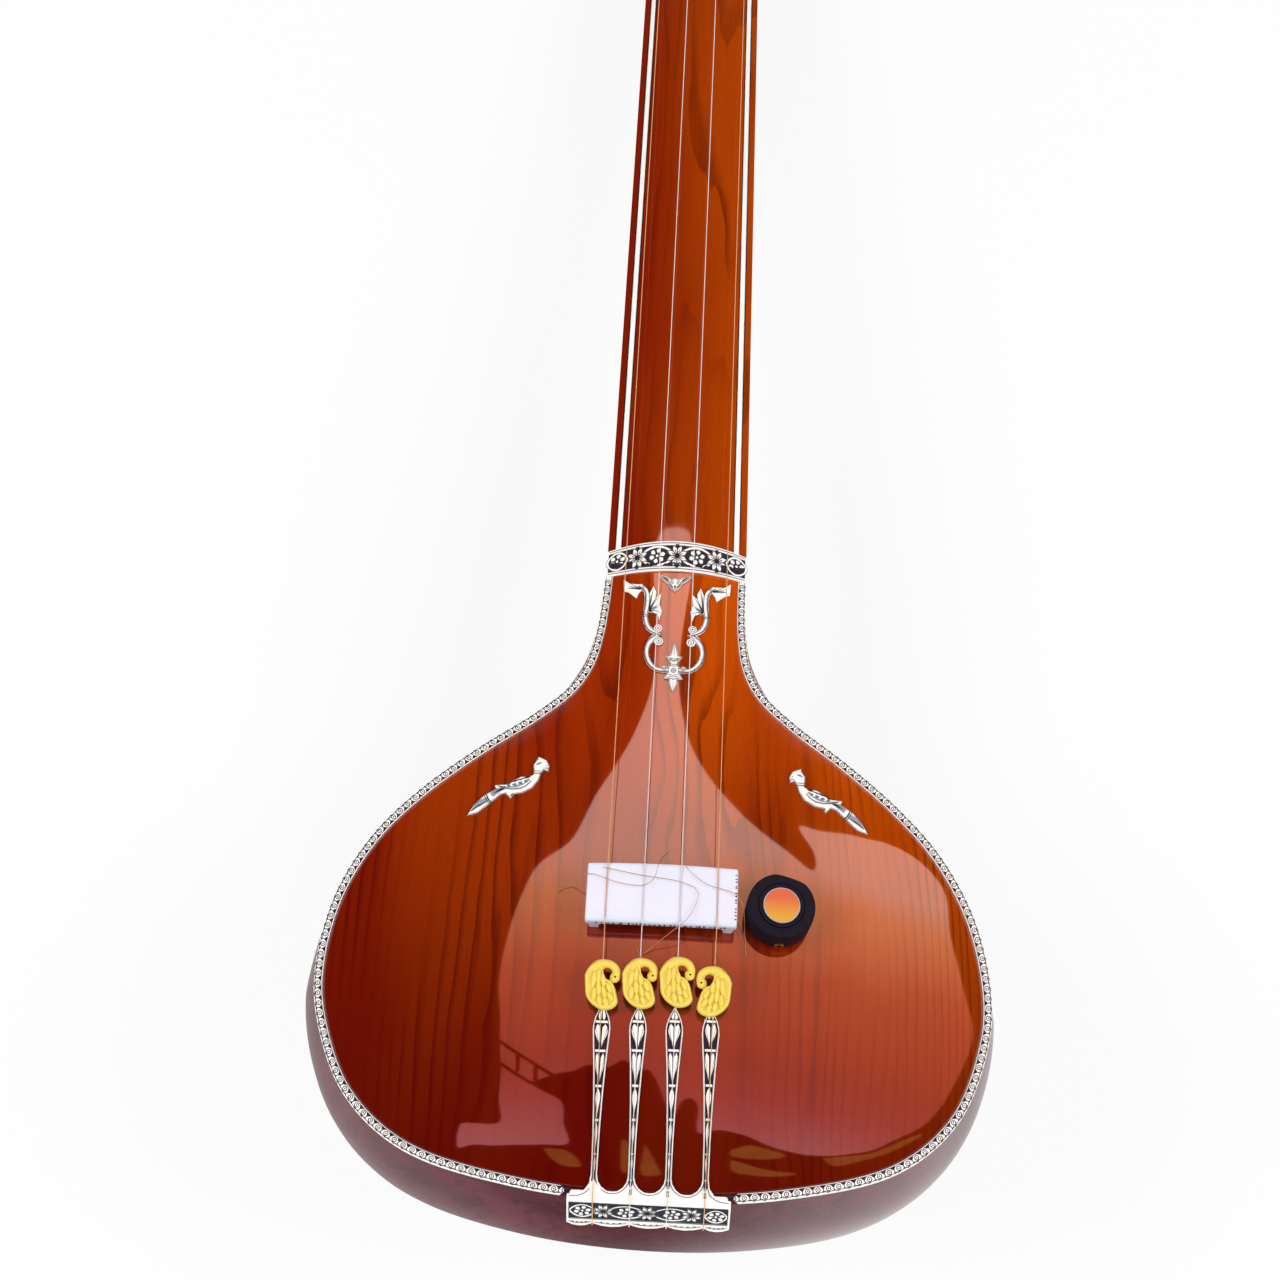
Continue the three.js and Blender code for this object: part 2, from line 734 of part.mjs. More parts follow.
// Scroll ornament. Its strokes are in shares of its height, up from the lower tip and
// sideways from the middle line. A third share is half the width of a stem there.
const scrollStemShares = [
  [0.3, 0.955, 0.02], [0.245, 0.9, 0.02], [0.235, 0.78, 0.021], [0.245, 0.67, 0.02],
  [0.215, 0.57, 0.02], [0.15, 0.525, 0.016], [0.1, 0.51, 0.006],
];
const scrollHookShares = [
  [0.135, 0.512, 0.012], [0.165, 0.485, 0.024], [0.208, 0.43, 0.021], [0.222, 0.35, 0.02],
  [0.195, 0.26, 0.02], [0.13, 0.2, 0.018], [0.04, 0.195, 0.018],
];
const scrollCurlShares = [[0.137, 0.567, 0.034], [0.128, 0.452, 0.036], [0.075, 0.208, 0.024]];
const scrollTipLeafShares = [
  [0.43, 1], [0.425, 0.9], [0.385, 0.888], [0.32, 0.835], [0.305, 0.88], [0.275, 0.92],
  [0.3, 0.96], [0.38, 0.965],
];
const scrollInnerLeafShares = [
  [0.235, 0.72], [0.225, 0.86], [0.19, 0.945], [0.165, 0.89], [0.17, 0.84], [0.125, 0.88], [0.135, 0.79],
  [0.115, 0.72], [0.13, 0.64], [0.15, 0.7], [0.205, 0.71],
];
const scrollSpearShares = [
  [0, 0], [-0.035, 0.09], [-0.03, 0.12], [-0.073, 0.123], [-0.045, 0.175], [-0.045, 0.22], [-0.03, 0.25],
  [-0.035, 0.275], [-0.065, 0.318], [-0.032, 0.325], [0, 0.458],
];

function scroll() {
  const at = (side) => ([x, y]) =>
    point(scrollX + side * x * scrollHeight, bodyLength - scrollSetback + y * scrollHeight);
  const spear = [
    ...scrollSpearShares.map(at(1)),
    ...scrollSpearShares.slice(1, -1).reverse().map(at(-1)),
  ];
  const shapes = [shapeThrough(spear)];
  for (const side of [-1, 1]) {
    for (const shares of [scrollStemShares, scrollHookShares]) {
      shapes.push(stem(shares.map((share) => {
        const p = at(side)(share);
        return [p.x, p.y, share[2] * scrollHeight];
      })));
    }
    for (const [x, y, radius] of scrollCurlShares) {
      const p = at(side)([x, y]);
      shapes.push(disc(p.x, p.y, radius * scrollHeight));
    }
    shapes.push(shapeThrough(scrollTipLeafShares.map(at(side))));
    shapes.push(shapeThrough(scrollInnerLeafShares.map(at(side))));
  }
  return drape(fuse(shapes.map((shape) => slab(shape, inlayThickness))), inlayFineness, onTabli);
}

// Small leaf ornament under the band, in shares of its half width.
const leafShares = [
  [0, -0.5], [0.2, -0.36], [0.42, -0.02], [0.75, 0.24], [1, 0.54], [0.4, 0.38], [0.2, 0.24], [0, 0.36],
];

function leafOrnament() {
  const at = (side) => ([x, y]) =>
    point(leafX + side * x * leafHalfWidth, bodyLength - leafSetback + y * leafHalfWidth);
  const points = [...leafShares.map(at(1)), ...leafShares.slice(1, -1).reverse().map(at(-1))];
  return drape(slab(shapeThrough(points), inlayThickness), inlayFineness, onTabli);
}

// A bird with a long tail, in shares of its length, from the tip of the tail.
const birdShares = [
  [0, 0], [0.13, 0.04], [0.26, 0.16], [0.39, 0.29], [0.45, 0.31], [0.52, 0.24], [0.55, 0.3], [0.66, 0.32],
  [0.78, 0.39], [0.85, 0.5], [0.87, 0.59], [0.9, 0.64], [0.96, 0.62], [0.97, 0.69], [0.93, 0.77],
  [0.87, 0.8], [0.82, 0.82], [0.8, 0.76], [0.77, 0.71], [0.78, 0.57], [0.73, 0.54], [0.63, 0.54],
  [0.51, 0.47], [0.46, 0.43], [0.31, 0.42], [0.33, 0.37], [0.18, 0.27], [0.07, 0.14],
];

function bird(side) {
  const tailX = bodyHalfWidth - birdTailMargin;
  const tailY = bridgeCentreY + birdTailRise;
  const points = birdShares.map(([x, y]) =>
    point(birdX + side * (tailX - x * birdLength), tailY + y * birdLength));
  return drape(slab(shapeThrough(points), inlayThickness), inlayFineness, onTabli);
}

// Band over the joint
function bandShape() {
  const shape = new THREE.Shape();
  const foot = bodyLength - bandSetback;
  const top = foot + bandHeight;
  shape.moveTo(-neckHalfWidth, foot);
  shape.quadraticCurveTo(0, foot + 2 * bandFootArch, neckHalfWidth, foot);
  shape.lineTo(neckHalfWidth, top);
  shape.quadraticCurveTo(0, top + 2 * bandTopArch, -neckHalfWidth, top);
  return shape;
}

function overJoint(x, y, z) {
  const board = y < bodyLength ? Math.max(tabliTop(x, y), bindingHeight) : plateTop(x, y);
  return point(x * (neckHalfAt(y) / neckHalfWidth), y, board + inlayGap + z);
}

// Tail plate: four fingers lying on the soundboard and a bar bent down over the tail.

const fingerX = (k) => stringX(k, fingerSpacing);
const scallopY = tailBendY - tailBarLength + scallopDepth;

function tailPlateShape() {
  const shape = new THREE.Shape();
  const waist = fingerWaistHalfWidth;
  const fingerTipY = bridgeCentreY - fingerTipSetback;
  const fingerWidestY = bridgeCentreY - fingerWidestSetback;
  const midY = (fingerFootY + fingerWidestY) / 2;
  const shoulderY = (fingerWidestY + fingerTipY) / 2;
  shape.moveTo(-tailPlateHalfWidth, tailBarTopY);
  shape.quadraticCurveTo(fingerX(0) - waist, tailBarTopY, fingerX(0) - waist, fingerFootY);
  for (const k of strings) {
    const x = fingerX(k);
    shape.quadraticCurveTo(x - waist, midY, x - fingerHalfWidth, fingerWidestY);
    shape.quadraticCurveTo(x - fingerHalfWidth, shoulderY, x, fingerTipY);
    shape.quadraticCurveTo(x + fingerHalfWidth, shoulderY, x + fingerHalfWidth, fingerWidestY);
    shape.quadraticCurveTo(x + waist, midY, x + waist, fingerFootY);
    if (k === stringCount - 1) continue;
    shape.absarc(x + fingerSpacing / 2, fingerFootY, fingerSpacing / 2 - waist, Math.PI, 2 * Math.PI);
  }
  shape.quadraticCurveTo(-fingerX(0) + waist, tailBarTopY, tailPlateHalfWidth, tailBarTopY);
  const notches = [-tailPlateHalfWidth, ...strings.map(fingerX), tailPlateHalfWidth].reverse();
  shape.lineTo(notches[0], scallopY);
  for (let i = 1; i < notches.length; i++) {
    const middle = (notches[i - 1] + notches[i]) / 2;
    shape.quadraticCurveTo(middle, scallopY - 2 * scallopDepth, notches[i], scallopY);
  }
  return shape;
}

// Place on the tail plate: across, along from head to tail and out of its underside.
const railTop = seatGap + tabliThickness;
const tailSlope = point(0, -Math.cos(tailBarSlope), -Math.sin(tailBarSlope));
const tailOut = point(0, -Math.sin(tailBarSlope), Math.cos(tailBarSlope));
function onTail(x, y, z) {
  if (y > tailBendY + weldDistance) return point(x, y, Math.max(tabliTop(x, y), railTop) + seatGap + z);
  return point(x, tailBendY, railTop + seatGap)
    .addScaledVector(tailSlope, Math.max(tailBendY - weldDistance - y, 0))
    .addScaledVector(tailOut, z);
}

const tailPlate = () => drape(slab(tailPlateShape(), tailPlateThickness), tailFineness, onTail, tailBendY);

function hitchRail() {
  const foot = point(0, tailBendY + seatGap, railTop).addScaledVector(tailSlope, railDrop);
  const profile = shapeThrough([
    point(railInnerStep, 0), point(railInnerStep, railTop), point(tailBendY + seatGap, railTop),
    point(foot.y, foot.z), point(railInnerStep, foot.z),
  ]);
  const half = tailPlateHalfWidth - railEndMargin;
  const bar = slab(profile, 2 * half);
  bar.applyMatrix4(new THREE.Matrix4().makeBasis(point(0, 1, 0), point(0, 0, 1), point(1, 0, 0)));
  bar.translate(-half, 0, 0);
  const body = loft(bodySkin(-seatGap, -seatGap), true);
  body.translate(0, 0, seatGap);
  return carve(bar, [body]);
}

// Strings

// A line of places as a path, with a step at each place.
class Line extends THREE.Curve {
  constructor(places) {
    super();
    this.places = places;
  }

  getPointAt(share) {
    return this.places[Math.round(share * (this.places.length - 1))].clone();
  }

  getTangentAt(share) {
    const i = Math.round(share * (this.places.length - 1));
    const p = this.places[i];
    const before = this.places[Math.max(i - 1, 0)];
    const after = this.places[Math.min(i + 1, this.places.length - 1)];
    return after.clone().sub(p).normalize().add(p.clone().sub(before).normalize()).normalize();
  }
}

// A round wire along a line of places.
function wire(places, radius, sides) {
  const round = new THREE.Shape(Array.from({ length: sides }, (_, i) => {
    const angle = (2 * Math.PI * i) / sides;
    return new THREE.Vector2(radius * Math.cos(angle), radius * Math.sin(angle));
  }));
  const settings = { extrudePath: new Line(places), steps: places.length - 1, bevelEnabled: false };
  return weld(new THREE.ExtrudeGeometry(round, settings));
}

const bridgeTailY = bridgeCentreY - bridgeDepth / 2;
const bridgeTop = (y) => bridgeTopZ - bridgeCrown * ((y - bridgeCentreY) / (bridgeDepth / 2)) ** 2;
const stringLift = stringRadius + seatGap;

const slotFloor = seatGap + neckPlateThickness - slotDepth;
const nutTop = slotFloor + seatGap + nutHeight;
const guideY = nutY + guideSetback;
const guideHoleZ = nutTop - guideHoleDrop;
const guideInY = guideY - nutThickness / 2 - seatGap;
const guideOutY = guideY + nutThickness / 2 + seatGap;

// Where each string comes off the tail plate and where it comes onto the bridge
const stringTail = (k) => {
  const out = tailOut.clone().add(point(0, 0, 1)).normalize();
  const lift = (tailPlateThickness + stringLift) / Math.cos(tailBarSlope / 2);
  return onTail(stringX(k, fingerSpacing), tailBendY, 0).addScaledVector(out, lift);
};
const stringBridge = (k) => {
  const y = bridgeTailY + bridgeEdgeRound;
  return point(stringX(k, stringSpacing), y, bridgeTop(y) + stringLift);
};

// Hitch pins stand in the gourd under the edge of the tail plate.
const skinMesh = new THREE.Mesh(bodyShell);
function pinSeat(k) {
  const from = point(stringX(k, fingerSpacing), -reach, -hitchPinDrop);
  const [hit] = new THREE.Raycaster(from, point(0, 1, 0)).intersectObject(skinMesh);
  return point(hit.point.x, hit.point.y - pinStandOff, hit.point.z);
}
const loopRadius = hitchPinRadius + stringLift;
const loopAnglesShares = [0.5, 0.6, 0.7, 0.8, 0.9, 1, 1.1];

// The end of a string: over the notch in the tail plate and round its pin.
function stringEnd(k) {
  const x = stringX(k, fingerSpacing);
  const seat = pinSeat(k);
  const loopY = seat.y - stringLift;
  const loop = loopAnglesShares.map((share) => point(
    x + loopRadius * Math.cos(2 * Math.PI * share),
    loopY,
    seat.z + loopRadius * Math.sin(2 * Math.PI * share),
  ));
  const pastNotch = scallopY - notchRunOut;
  return [
    onTail(x, pastNotch, tailPlateThickness + stringLift),
    onTail(x, pastNotch, -stringLift / 2),
    point(x - loopRadius, loopY, seat.z + hitchPinHeadRadius + 2 * stringLift),
    ...loop,
  ].reverse();
}

// The head of a string: over the nut, through the guide and to its peg.
const frontPegX = stringX(2, stringSpacing) + pegShaftRadius + stringLift;
const wrapRadius = pegShaftRadius + stringLift;

const sidePegY = nutY + sidePegSetback;

function pegOf(k) {
  const side = Math.sign(stringX(k, stringSpacing));
  if (isOuter(k)) {
    const y = sidePegY;
    return { side, seat: point(side * neckHalfAt(y), y, -sidePegDrop), axis: point(side) };
  }
  const y = nutY + (k === 1 ? frontPegFirstSetback : frontPegSecondSetback);
  return { side, seat: point(side * frontPegX, y, plateTop(frontPegX, y)), axis: point(0, 0, 1) };
}

// Where a string from a place touches its peg, and which way it runs on round the shaft.
function touch(k, from) {
  const { side, seat, axis } = pegOf(k);
  const hub = seat.clone().addScaledVector(axis, windingStart);
  const back = from.clone().sub(hub);
  back.addScaledVector(axis, -back.dot(axis));
  const angle = Math.acos(wrapRadius / back.length());
  const turn = isOuter(k) ? -angle * side : angle * side;
  const out = back.clone().normalize().applyAxisAngle(axis, turn);
  const onward = out.clone().multiplyScalar(wrapRadius).sub(back).normalize();
  return { hub, out, onward };
}

function stringPath(k) {
  const x = stringX(k, stringSpacing);
  const path = [...stringEnd(k), stringTail(k), stringBridge(k)];
  const middleY = (bridgeTailY + bridgeEdgeRound + bridgeCentreY) / 2;
  for (const y of [middleY, bridgeCentreY]) path.push(point(x, y, bridgeTop(y) + stringLift));
  path.push(point(x, nutY, nutTop - nutGrooveDepth + stringLift));
  path.push(point(x, guideInY, guideHoleZ), point(x, guideOutY, guideHoleZ));
  if (isOuter(k)) {
    const y = (guideY + sidePegY) / 2;
    const side = Math.sign(x);
    path.push(point(
      side * (neckHalfAt(y) + edgeClearance), y, seatGap + neckPlateThickness + edgeClearance,
    ));
  }
  const { hub, out, onward } = touch(k, path.at(-1));
  const end = hub.clone().addScaledVector(out, wrapRadius).addScaledVector(onward, -stringEndGap);
  path.push(end);
  return path;
}

// Turns of string on a peg, one unbroken tube.
function windingLine(k) {
  const { side, axis } = pegOf(k);
  const path = stringPath(k);
  const { hub, out, onward } = touch(k, path.at(-2));
  const line = [];
  for (let i = 0; i <= windingTurns * windingSteps; i++) {
    const angle = (2 * Math.PI * i) / windingSteps;
    line.push(hub.clone()
      .addScaledVector(out, wrapRadius * Math.cos(angle))
      .addScaledVector(onward, wrapRadius * Math.sin(angle))
      .addScaledVector(axis, (windingPitch * i) / windingSteps));
  }
  return line;
}

// Least gap of a winding to its own neighbouring turns
function leastGap(line) {
  let least = Infinity;
  for (let i = 0; i < line.length; i++) {
    for (let j = i + windingSteps / 2; j < line.length; j++) {
      least = Math.min(least, line[i].distanceTo(line[j]) - 2 * stringRadius);
    }
  }
  return least;
}

// Pegs, turned in one piece. Radii and heights of the head in shares of its own size.
const pegHeadShares = [
  [0.6, 0.02], [0.6, 0.06], [0.48, 0.1], [0.55, 0.14], [0.8, 0.22], [1, 0.38], [0.96, 0.52],
  [0.74, 0.67], [0.46, 0.74], [0.55, 0.8], [0.46, 0.88], [0.24, 0.96],
];

function peg(k) {
  const { seat, axis } = pegOf(k);
  const profile = [
    new THREE.Vector2(0, -pegSeatLength),
    new THREE.Vector2(pegTipRadius, -pegSeatLength),
    new THREE.Vector2(pegShaftRadius, 0),
    new THREE.Vector2(pegShaftRadius, pegShaftShow),
    ...pegHeadShares.map(([r, h]) => new THREE.Vector2(r * pegHeadRadius, pegShaftShow + h * pegHeadLength)),
    new THREE.Vector2(0, pegShaftShow + pegHeadLength),
  ];
  const geometry = new THREE.LatheGeometry(profile, turnedSides);
  geometry.applyQuaternion(new THREE.Quaternion().setFromUnitVectors(point(0, 1), axis));
  geometry.translate(seat.x, seat.y, seat.z);
  return geometry;
}

function pegHole(k) {
  const { seat, axis } = pegOf(k);
  const tip = seat.clone().addScaledVector(axis, -pegSeatLength - pegHoleClearance);
  const mouth = seat.clone().addScaledVector(axis, toolOverrun);
  return rod(tip, mouth, pegTipRadius + pegHoleClearance, pegShaftRadius + 2 * pegHoleClearance);
}

// Neck plate and its strips: one cross-section each, which narrows towards the head.
function alongNeck(points) {
  const piece = slab(shapeThrough(points), neckEndY - neckStart);
  piece.applyMatrix4(new THREE.Matrix4().makeBasis(point(1, 0), point(0, 0, 1), point(0, 1, 0)));
  piece.translate(0, neckStart, 0);
  const places = piece.attributes.position;
  for (let i = 0; i < places.count; i++) {
    places.setX(i, (places.getX(i) * neckHalfAt(places.getY(i))) / neckHalfWidth);
  }
  return weld(piece);
}

const stripOuter = neckHalfWidth - stripMargin;
const stripInner = stripOuter - stripWidth;
const atTop = (x, drop = 0) => point(x, plateTop(x, bodyLength) - drop);

function neckPlateSection() {
  const half = [
    point(neckHalfWidth, seatGap), atTop(neckHalfWidth),
    atTop(stripOuter + seatGap), atTop(stripOuter + seatGap, stripDepth),
    atTop(stripInner - seatGap, stripDepth), atTop(stripInner - seatGap),
    atTop(neckHalfWidth / 2), atTop(neckHalfWidth / 4),
  ];
  return [...half, atTop(0), ...half.map((p) => point(-p.x, p.y)).reverse()];
}

function stripSection(side) {
  const lift = stripDepth - seatGap;
  const [inner, outer] = [side * stripInner, side * stripOuter];
  return [atTop(inner, lift), atTop(outer, lift), atTop(outer), atTop(inner)];
}

// Head cap: a dome over the end of the neck.
const capRingShares = [0, 0.25, 0.5, 0.75, 0.95];
function headCap() {
  const under = neckSection(neckEndY, capInset);
  const topXs = under.slice(1, -1).filter((p, i) => i % capEvery === 0).map((p) => p.x).reverse();
  const over = topXs.filter((x, i) => topXs.indexOf(x) === i).map((x) =>
    point(x, neckEndY, plateTop(x, neckEndY) - capInset));
  const ring = [...under, ...over];
  const middle = point(0, neckEndY, -headDepth / 2);
  return loft(capRingShares.map((share) => {
    const angle = (share * Math.PI) / 2;
    return ring.map((p) => {
      const q = middle.clone().lerp(p, Math.cos(angle));
      return point(q.x, neckEndY + seatGap + headCapLength * Math.sin(angle), q.z);
    });
  }));
}

// Bridge

function bridgePlate() {
  const half = bridgeDepth / 2;
  const stations = bridgeStationShares.map((share) => (share * bridgeWidth) / 2);
  return loft(stations.map((x) => {
    const end = Math.abs(x) === bridgeWidth / 2 ? bridgeEdgeRound / 2 : 0;
    const bow = bridgeBow * (1 - (2 * x / bridgeWidth) ** 2);
    const section = bridgeSectionShares.map(([across, drop]) => {
      const y = across * (half - end);
      const z = bridgeTopZ - bridgeCrown * across ** 2 - drop * bridgeEdgeRound - end;
      return point(x, bridgeCentreY + y + (across > 0 ? across * bow : 0), z);
    });
    const floor = bridgeTopZ - bridgePlateHeight;
    const first = section[0];
    const last = section.at(-1);
    return [...section, point(x, last.y, floor), point(x, first.y, floor)];
  }));
}

// Board and feet in one piece, arched open between the feet, which stand on the soundboard.
function bridgeBase() {
  const top = bridgeTopZ - bridgePlateHeight - seatGap;
  const under = top - bridgeBoardHeight;
  const half = bridgeWidth / 2 - bridgeBaseInset;
  const inner = half - bridgeFootWidth;
  const shape = new THREE.Shape();
  shape.moveTo(-half, top);
  shape.lineTo(-half + bridgeFootTaper, 0);
  shape.lineTo(-inner, 0);
  shape.lineTo(-inner, under - bridgeArchRound);
  shape.quadraticCurveTo(-inner, under, -inner + bridgeArchRound, under);
  shape.lineTo(inner - bridgeArchRound, under);
  shape.quadraticCurveTo(inner, under, inner, under - bridgeArchRound);
  shape.lineTo(inner, 0);
  shape.lineTo(half - bridgeFootTaper, 0);
  shape.lineTo(half, top);
  const depth = bridgeDepth - 2 * bridgeBaseInset;
  const settings = { depth, steps: bridgeFootSteps, bevelEnabled: false, curveSegments };
  const piece = new THREE.ExtrudeGeometry(shape, settings);
  piece.applyMatrix4(new THREE.Matrix4().makeBasis(point(1, 0), point(0, 0, 1), point(0, 1, 0)));
  piece.translate(0, bridgeCentreY - depth / 2, 0);
  const places = piece.attributes.position;
  for (let i = 0; i < places.count; i++) {
    if (places.getZ(i) !== 0) continue;
    places.setZ(i, tabliTop(places.getX(i), places.getY(i)) + seatGap);
  }
  return weld(piece);
}

// Nut and string guide
function crossBar(y, height) {
  const floor = slotFloor + seatGap;
  const bar = (half, z, thick) => [
    point(half, y - thick, z), point(half, y + thick, z),
    point(-half, y + thick, z), point(-half, y - thick, z),
  ];
  return loft([
    bar(nutWidth / 2, floor, nutThickness / 2),
    bar(nutWidth / 2, floor + height - nutRound, nutThickness / 2),
    bar(nutWidth / 2 - nutRound, floor + height, nutThickness / 2 - nutRound),
  ]);
}

// The grooves follow the strings over the nut.
function grooves() {
  return strings.map((k) => {
    const x = stringX(k, stringSpacing);
    const places = [
      stringBridge(k), point(x, nutY, nutTop - nutGrooveDepth + stringLift), point(x, guideInY, guideHoleZ),
    ];
    return wire(places, stringRadius + seatGap, stringSides);
  });
}

function guideHoles() {
  return strings.map((k) => {
    const x = stringX(k, stringSpacing);
    const from = point(x, guideY - toolOverrun, guideHoleZ);
    const to = point(x, guideY + toolOverrun, guideHoleZ);
    return rod(from, to, guideHoleRadius, guideHoleRadius, stringSides);
  });
}

function slot(y) {
  const half = nutWidth / 2 + seatGap;
  const thick = nutThickness / 2 + seatGap;
  return boxBetween(-half, half, y - thick, y + thick, slotFloor, nutTop);
}

// Tuning beads: swans threaded on the strings. Their outline is in shares of half the
// width and half the length.
const swanShares = [
  [0.29, 1], [0.65, 0.95], [0.9, 0.76], [0.99, 0.53], [0.94, 0.26], [0.78, 0.08], [0.6, 0.08], [0.69, -0.17],
  [0.83, -0.59], [0.9, -0.76], [0.69, -0.92], [0.25, -1], [-0.26, -0.95], [-0.7, -0.69], [-0.87, -0.36],
  [-1, 0.17], [-0.88, 0.46], [-0.52, 0.76], [-0.12, 0.95],
];
const eyeletShares = [0.34, 0.61];

function bead(k) {
  const isLast = k === stringCount - 1;
  const mirror = isLast ? -1 : 1;
  const places = swanShares.map(([x, y]) => point((mirror * x * beadWidth) / 2, (y * beadLength) / 2));
  const round = new THREE.CatmullRomCurve3(places, true, 'centripetal').getPoints(beadSteps).slice(0, -1);
  const geometry = new THREE.ExtrudeGeometry(shapeThrough(round), {
    depth: beadThickness - 2 * beadBevel,
    bevelThickness: beadBevel,
    bevelSize: beadBevel,
    bevelOffset: -beadBevel,
    bevelSegments,
  });
  geometry.translate(0, 0, beadBevel - beadThickness / 2);
  const boreEnd = point(0, beadLength);
  const [eyeX, eyeY] = [(mirror * eyeletShares[0] * beadWidth) / 2, (eyeletShares[1] * beadLength) / 2];
  const swan = carve(geometry, [
    rod(boreEnd.clone().negate(), boreEnd, beadBoreRadius, beadBoreRadius, stringSides),
    rod(point(eyeX, eyeY, -beadThickness), point(eyeX, eyeY, beadThickness), beadEyeletRadius),
  ]);
  const [tailEnd, bridgeEnd] = [stringTail(k), stringBridge(k)];
  const y = bridgeCentreY - (isLast ? beadFourthSetback : beadFirstSetback - k * beadStepY);
  const along = bridgeEnd.clone().sub(tailEnd).normalize();
  const across = point(1, 0).addScaledVector(along, -along.x).normalize();
  const middle = tailEnd.clone().lerp(bridgeEnd, (y - tailEnd.y) / (bridgeEnd.y - tailEnd.y));
  const upward = across.clone().cross(along);
  swan.applyMatrix4(new THREE.Matrix4().makeBasis(across, along, upward).setPosition(middle));
  return swan;
}

// Contact pickup, in its own frame: z along its axis and z = 0 on its underside.

const pickup = new THREE.Group();
const pickupX = bridgeWidth / 2 + pickupRadius + pickupAside;
const pickupY = bridgeCentreY - pickupDrop;
const slopeStep = pickupRadius / 2;
const slopeX = tabliTop(pickupX + slopeStep, pickupY) - tabliTop(pickupX - slopeStep, pickupY);
const slopeY = tabliTop(pickupX, pickupY + slopeStep) - tabliTop(pickupX, pickupY - slopeStep);
const pickupUp = point(-slopeX, -slopeY, 2 * slopeStep).normalize();
pickup.quaternion.setFromUnitVectors(point(0, 0, 1), pickupUp);
pickup.position.copy(point(pickupX, pickupY, tabliTop(pickupX, pickupY)));
pickup.position.addScaledVector(pickupUp, 2 * inlayGap + pickupPadThickness);
instrument.add(pickup);

const chordDistance = Math.sqrt(pickupRadius ** 2 - pickupChordHalf ** 2);
const upright = (radius, from, to) => rod(point(0, 0, from), point(0, 0, to), radius, radius, pickupSides);
const jackRod = (radius, from, to) => rod(
  point(0, from - pickupRadius, jackCentreHeight), point(0, to - pickupRadius, jackCentreHeight), radius,
);

function pickupHousing() {
  const half = Math.asin(pickupChordHalf / pickupRadius);
  const middle = Math.PI / 2 + pickupChordTurn;
  const shape = new THREE.Shape();
  shape.absarc(0, 0, pickupRadius, middle + half, middle - half + 2 * Math.PI);
  const block = new THREE.ExtrudeGeometry(shape, {
    depth: pickupHeight - 2 * pickupBevel,
    bevelThickness: pickupBevel,
    bevelSize: pickupBevel,
    bevelOffset: -pickupBevel,
    bevelSegments,
    curveSegments: pickupSides / 2,
  });
  block.translate(0, 0, pickupBevel);
  return carve(block, [
    upright(chordDistance - pickupWall, -toolOverrun, pickupHeight - pickupRoof - pickupCapThickness),
    upright(pickupCapRadius + pickupGroove, pickupHeight - pickupCapThickness, pickupHeight + toolOverrun),
    jackRod(jackRadius + seatGap, -toolOverrun, toolOverrun),
  ]);
}

const capTop = pickupHeight + seatGap;
const labelFloor = capTop - pickupLabelThickness;
const pickupCap = carve(upright(pickupCapRadius, capTop - pickupCapThickness, capTop), [
  upright(pickupLabelRadius + seatGap, labelFloor, capTop + toolOverrun),
]);
const jack = carve(jackRod(jackRadius, -jackProud, jackLength - jackProud), [
  jackRod(jackBoreRadius, -toolOverrun, jackLength - jackProud - jackEndWall),
]);

// Cotton threads that belong between the strings and the bridge and now lie loose on it.
// Each runs through places across and along from the middle of the bridge, in shares of
// its width and depth, and up from the soundboard, in shares of the height of its top.
const bridgeRise = bridgeTopZ + 2 * stringLift + 2 * threadRadius;
const threadShares = [
  [
    [-0.4, 0.4, 1], [-0.15, 0.29, 1], [0.12, 0.2, 1], [0.235, 0.06, 1], [0.22, -0.22, 1],
    [0.16, -0.47, 1], [0.07, -0.62, 0.72], [-0.04, -0.78, 0.2], [-0.13, -0.93, 0], [-0.15, -0.8, 0],
  ],
  [
    [-0.7, 0.14, 0], [-0.62, 0.24, 0], [-0.545, 0.28, 0.6], [-0.47, 0.27, 1.03], [-0.3, 0.14, 1.03],
    [-0.1, 0.12, 1.05], [-0.045, 0.3, 1.07], [-0.03, 0.53, 1.03], [-0.02, 0.66, 0.55],
    [-0.02, 0.8, 0], [0.03, 0.95, 0],
  ],
  [
    [0.13, 0.9, 0], [0.13, 0.72, 0.4], [0.14, 0.5, 1], [0.22, 0.3, 1], [0.3, 0.17, 1], [0.42, 0.09, 1],
    [0.5, 0, 1], [0.545, -0.2, 0.65], [0.555, -0.42, 0.25], [0.565, -0.62, 0], [0.57, -0.85, 0],
  ],
];

function threadLine(shares) {
  const places = shares.map(([across, along, up]) => {
    const x = across * bridgeWidth;
    const y = bridgeCentreY + along * bridgeDepth;
    return point(x, y, mix(tabliTop(x, y) + 2 * seatGap + threadRadius, bridgeRise, up));
  });
  return new THREE.CatmullRomCurve3(places, false, 'centripetal').getSpacedPoints(threadSteps);
}

// All the pieces

const pinHoles = strings.map((k) => {
  const seat = pinSeat(k);
  const from = point(seat.x, seat.y - toolOverrun, seat.z);
  return rod(from, point(seat.x, seat.y + 2 * hitchPinLength, seat.z), hitchPinRadius + seatGap);
});

function hitchPin(k) {
  const seat = pinSeat(k);
  const under = seat.y - 2 * stringLift;
  const profile = [
    new THREE.Vector2(0, -hitchPinHeadThickness),
    new THREE.Vector2(hitchPinHeadRadius * pinDomeShare, -hitchPinHeadThickness),
    new THREE.Vector2(hitchPinHeadRadius, 0),
    new THREE.Vector2(hitchPinRadius, 0),
    new THREE.Vector2(hitchPinRadius, hitchPinLength - 2 * hitchPinRadius),
    new THREE.Vector2(0, hitchPinLength),
  ];
  const geometry = new THREE.LatheGeometry(profile, pinSides);
  geometry.translate(seat.x, under, seat.z);
  return geometry;
}

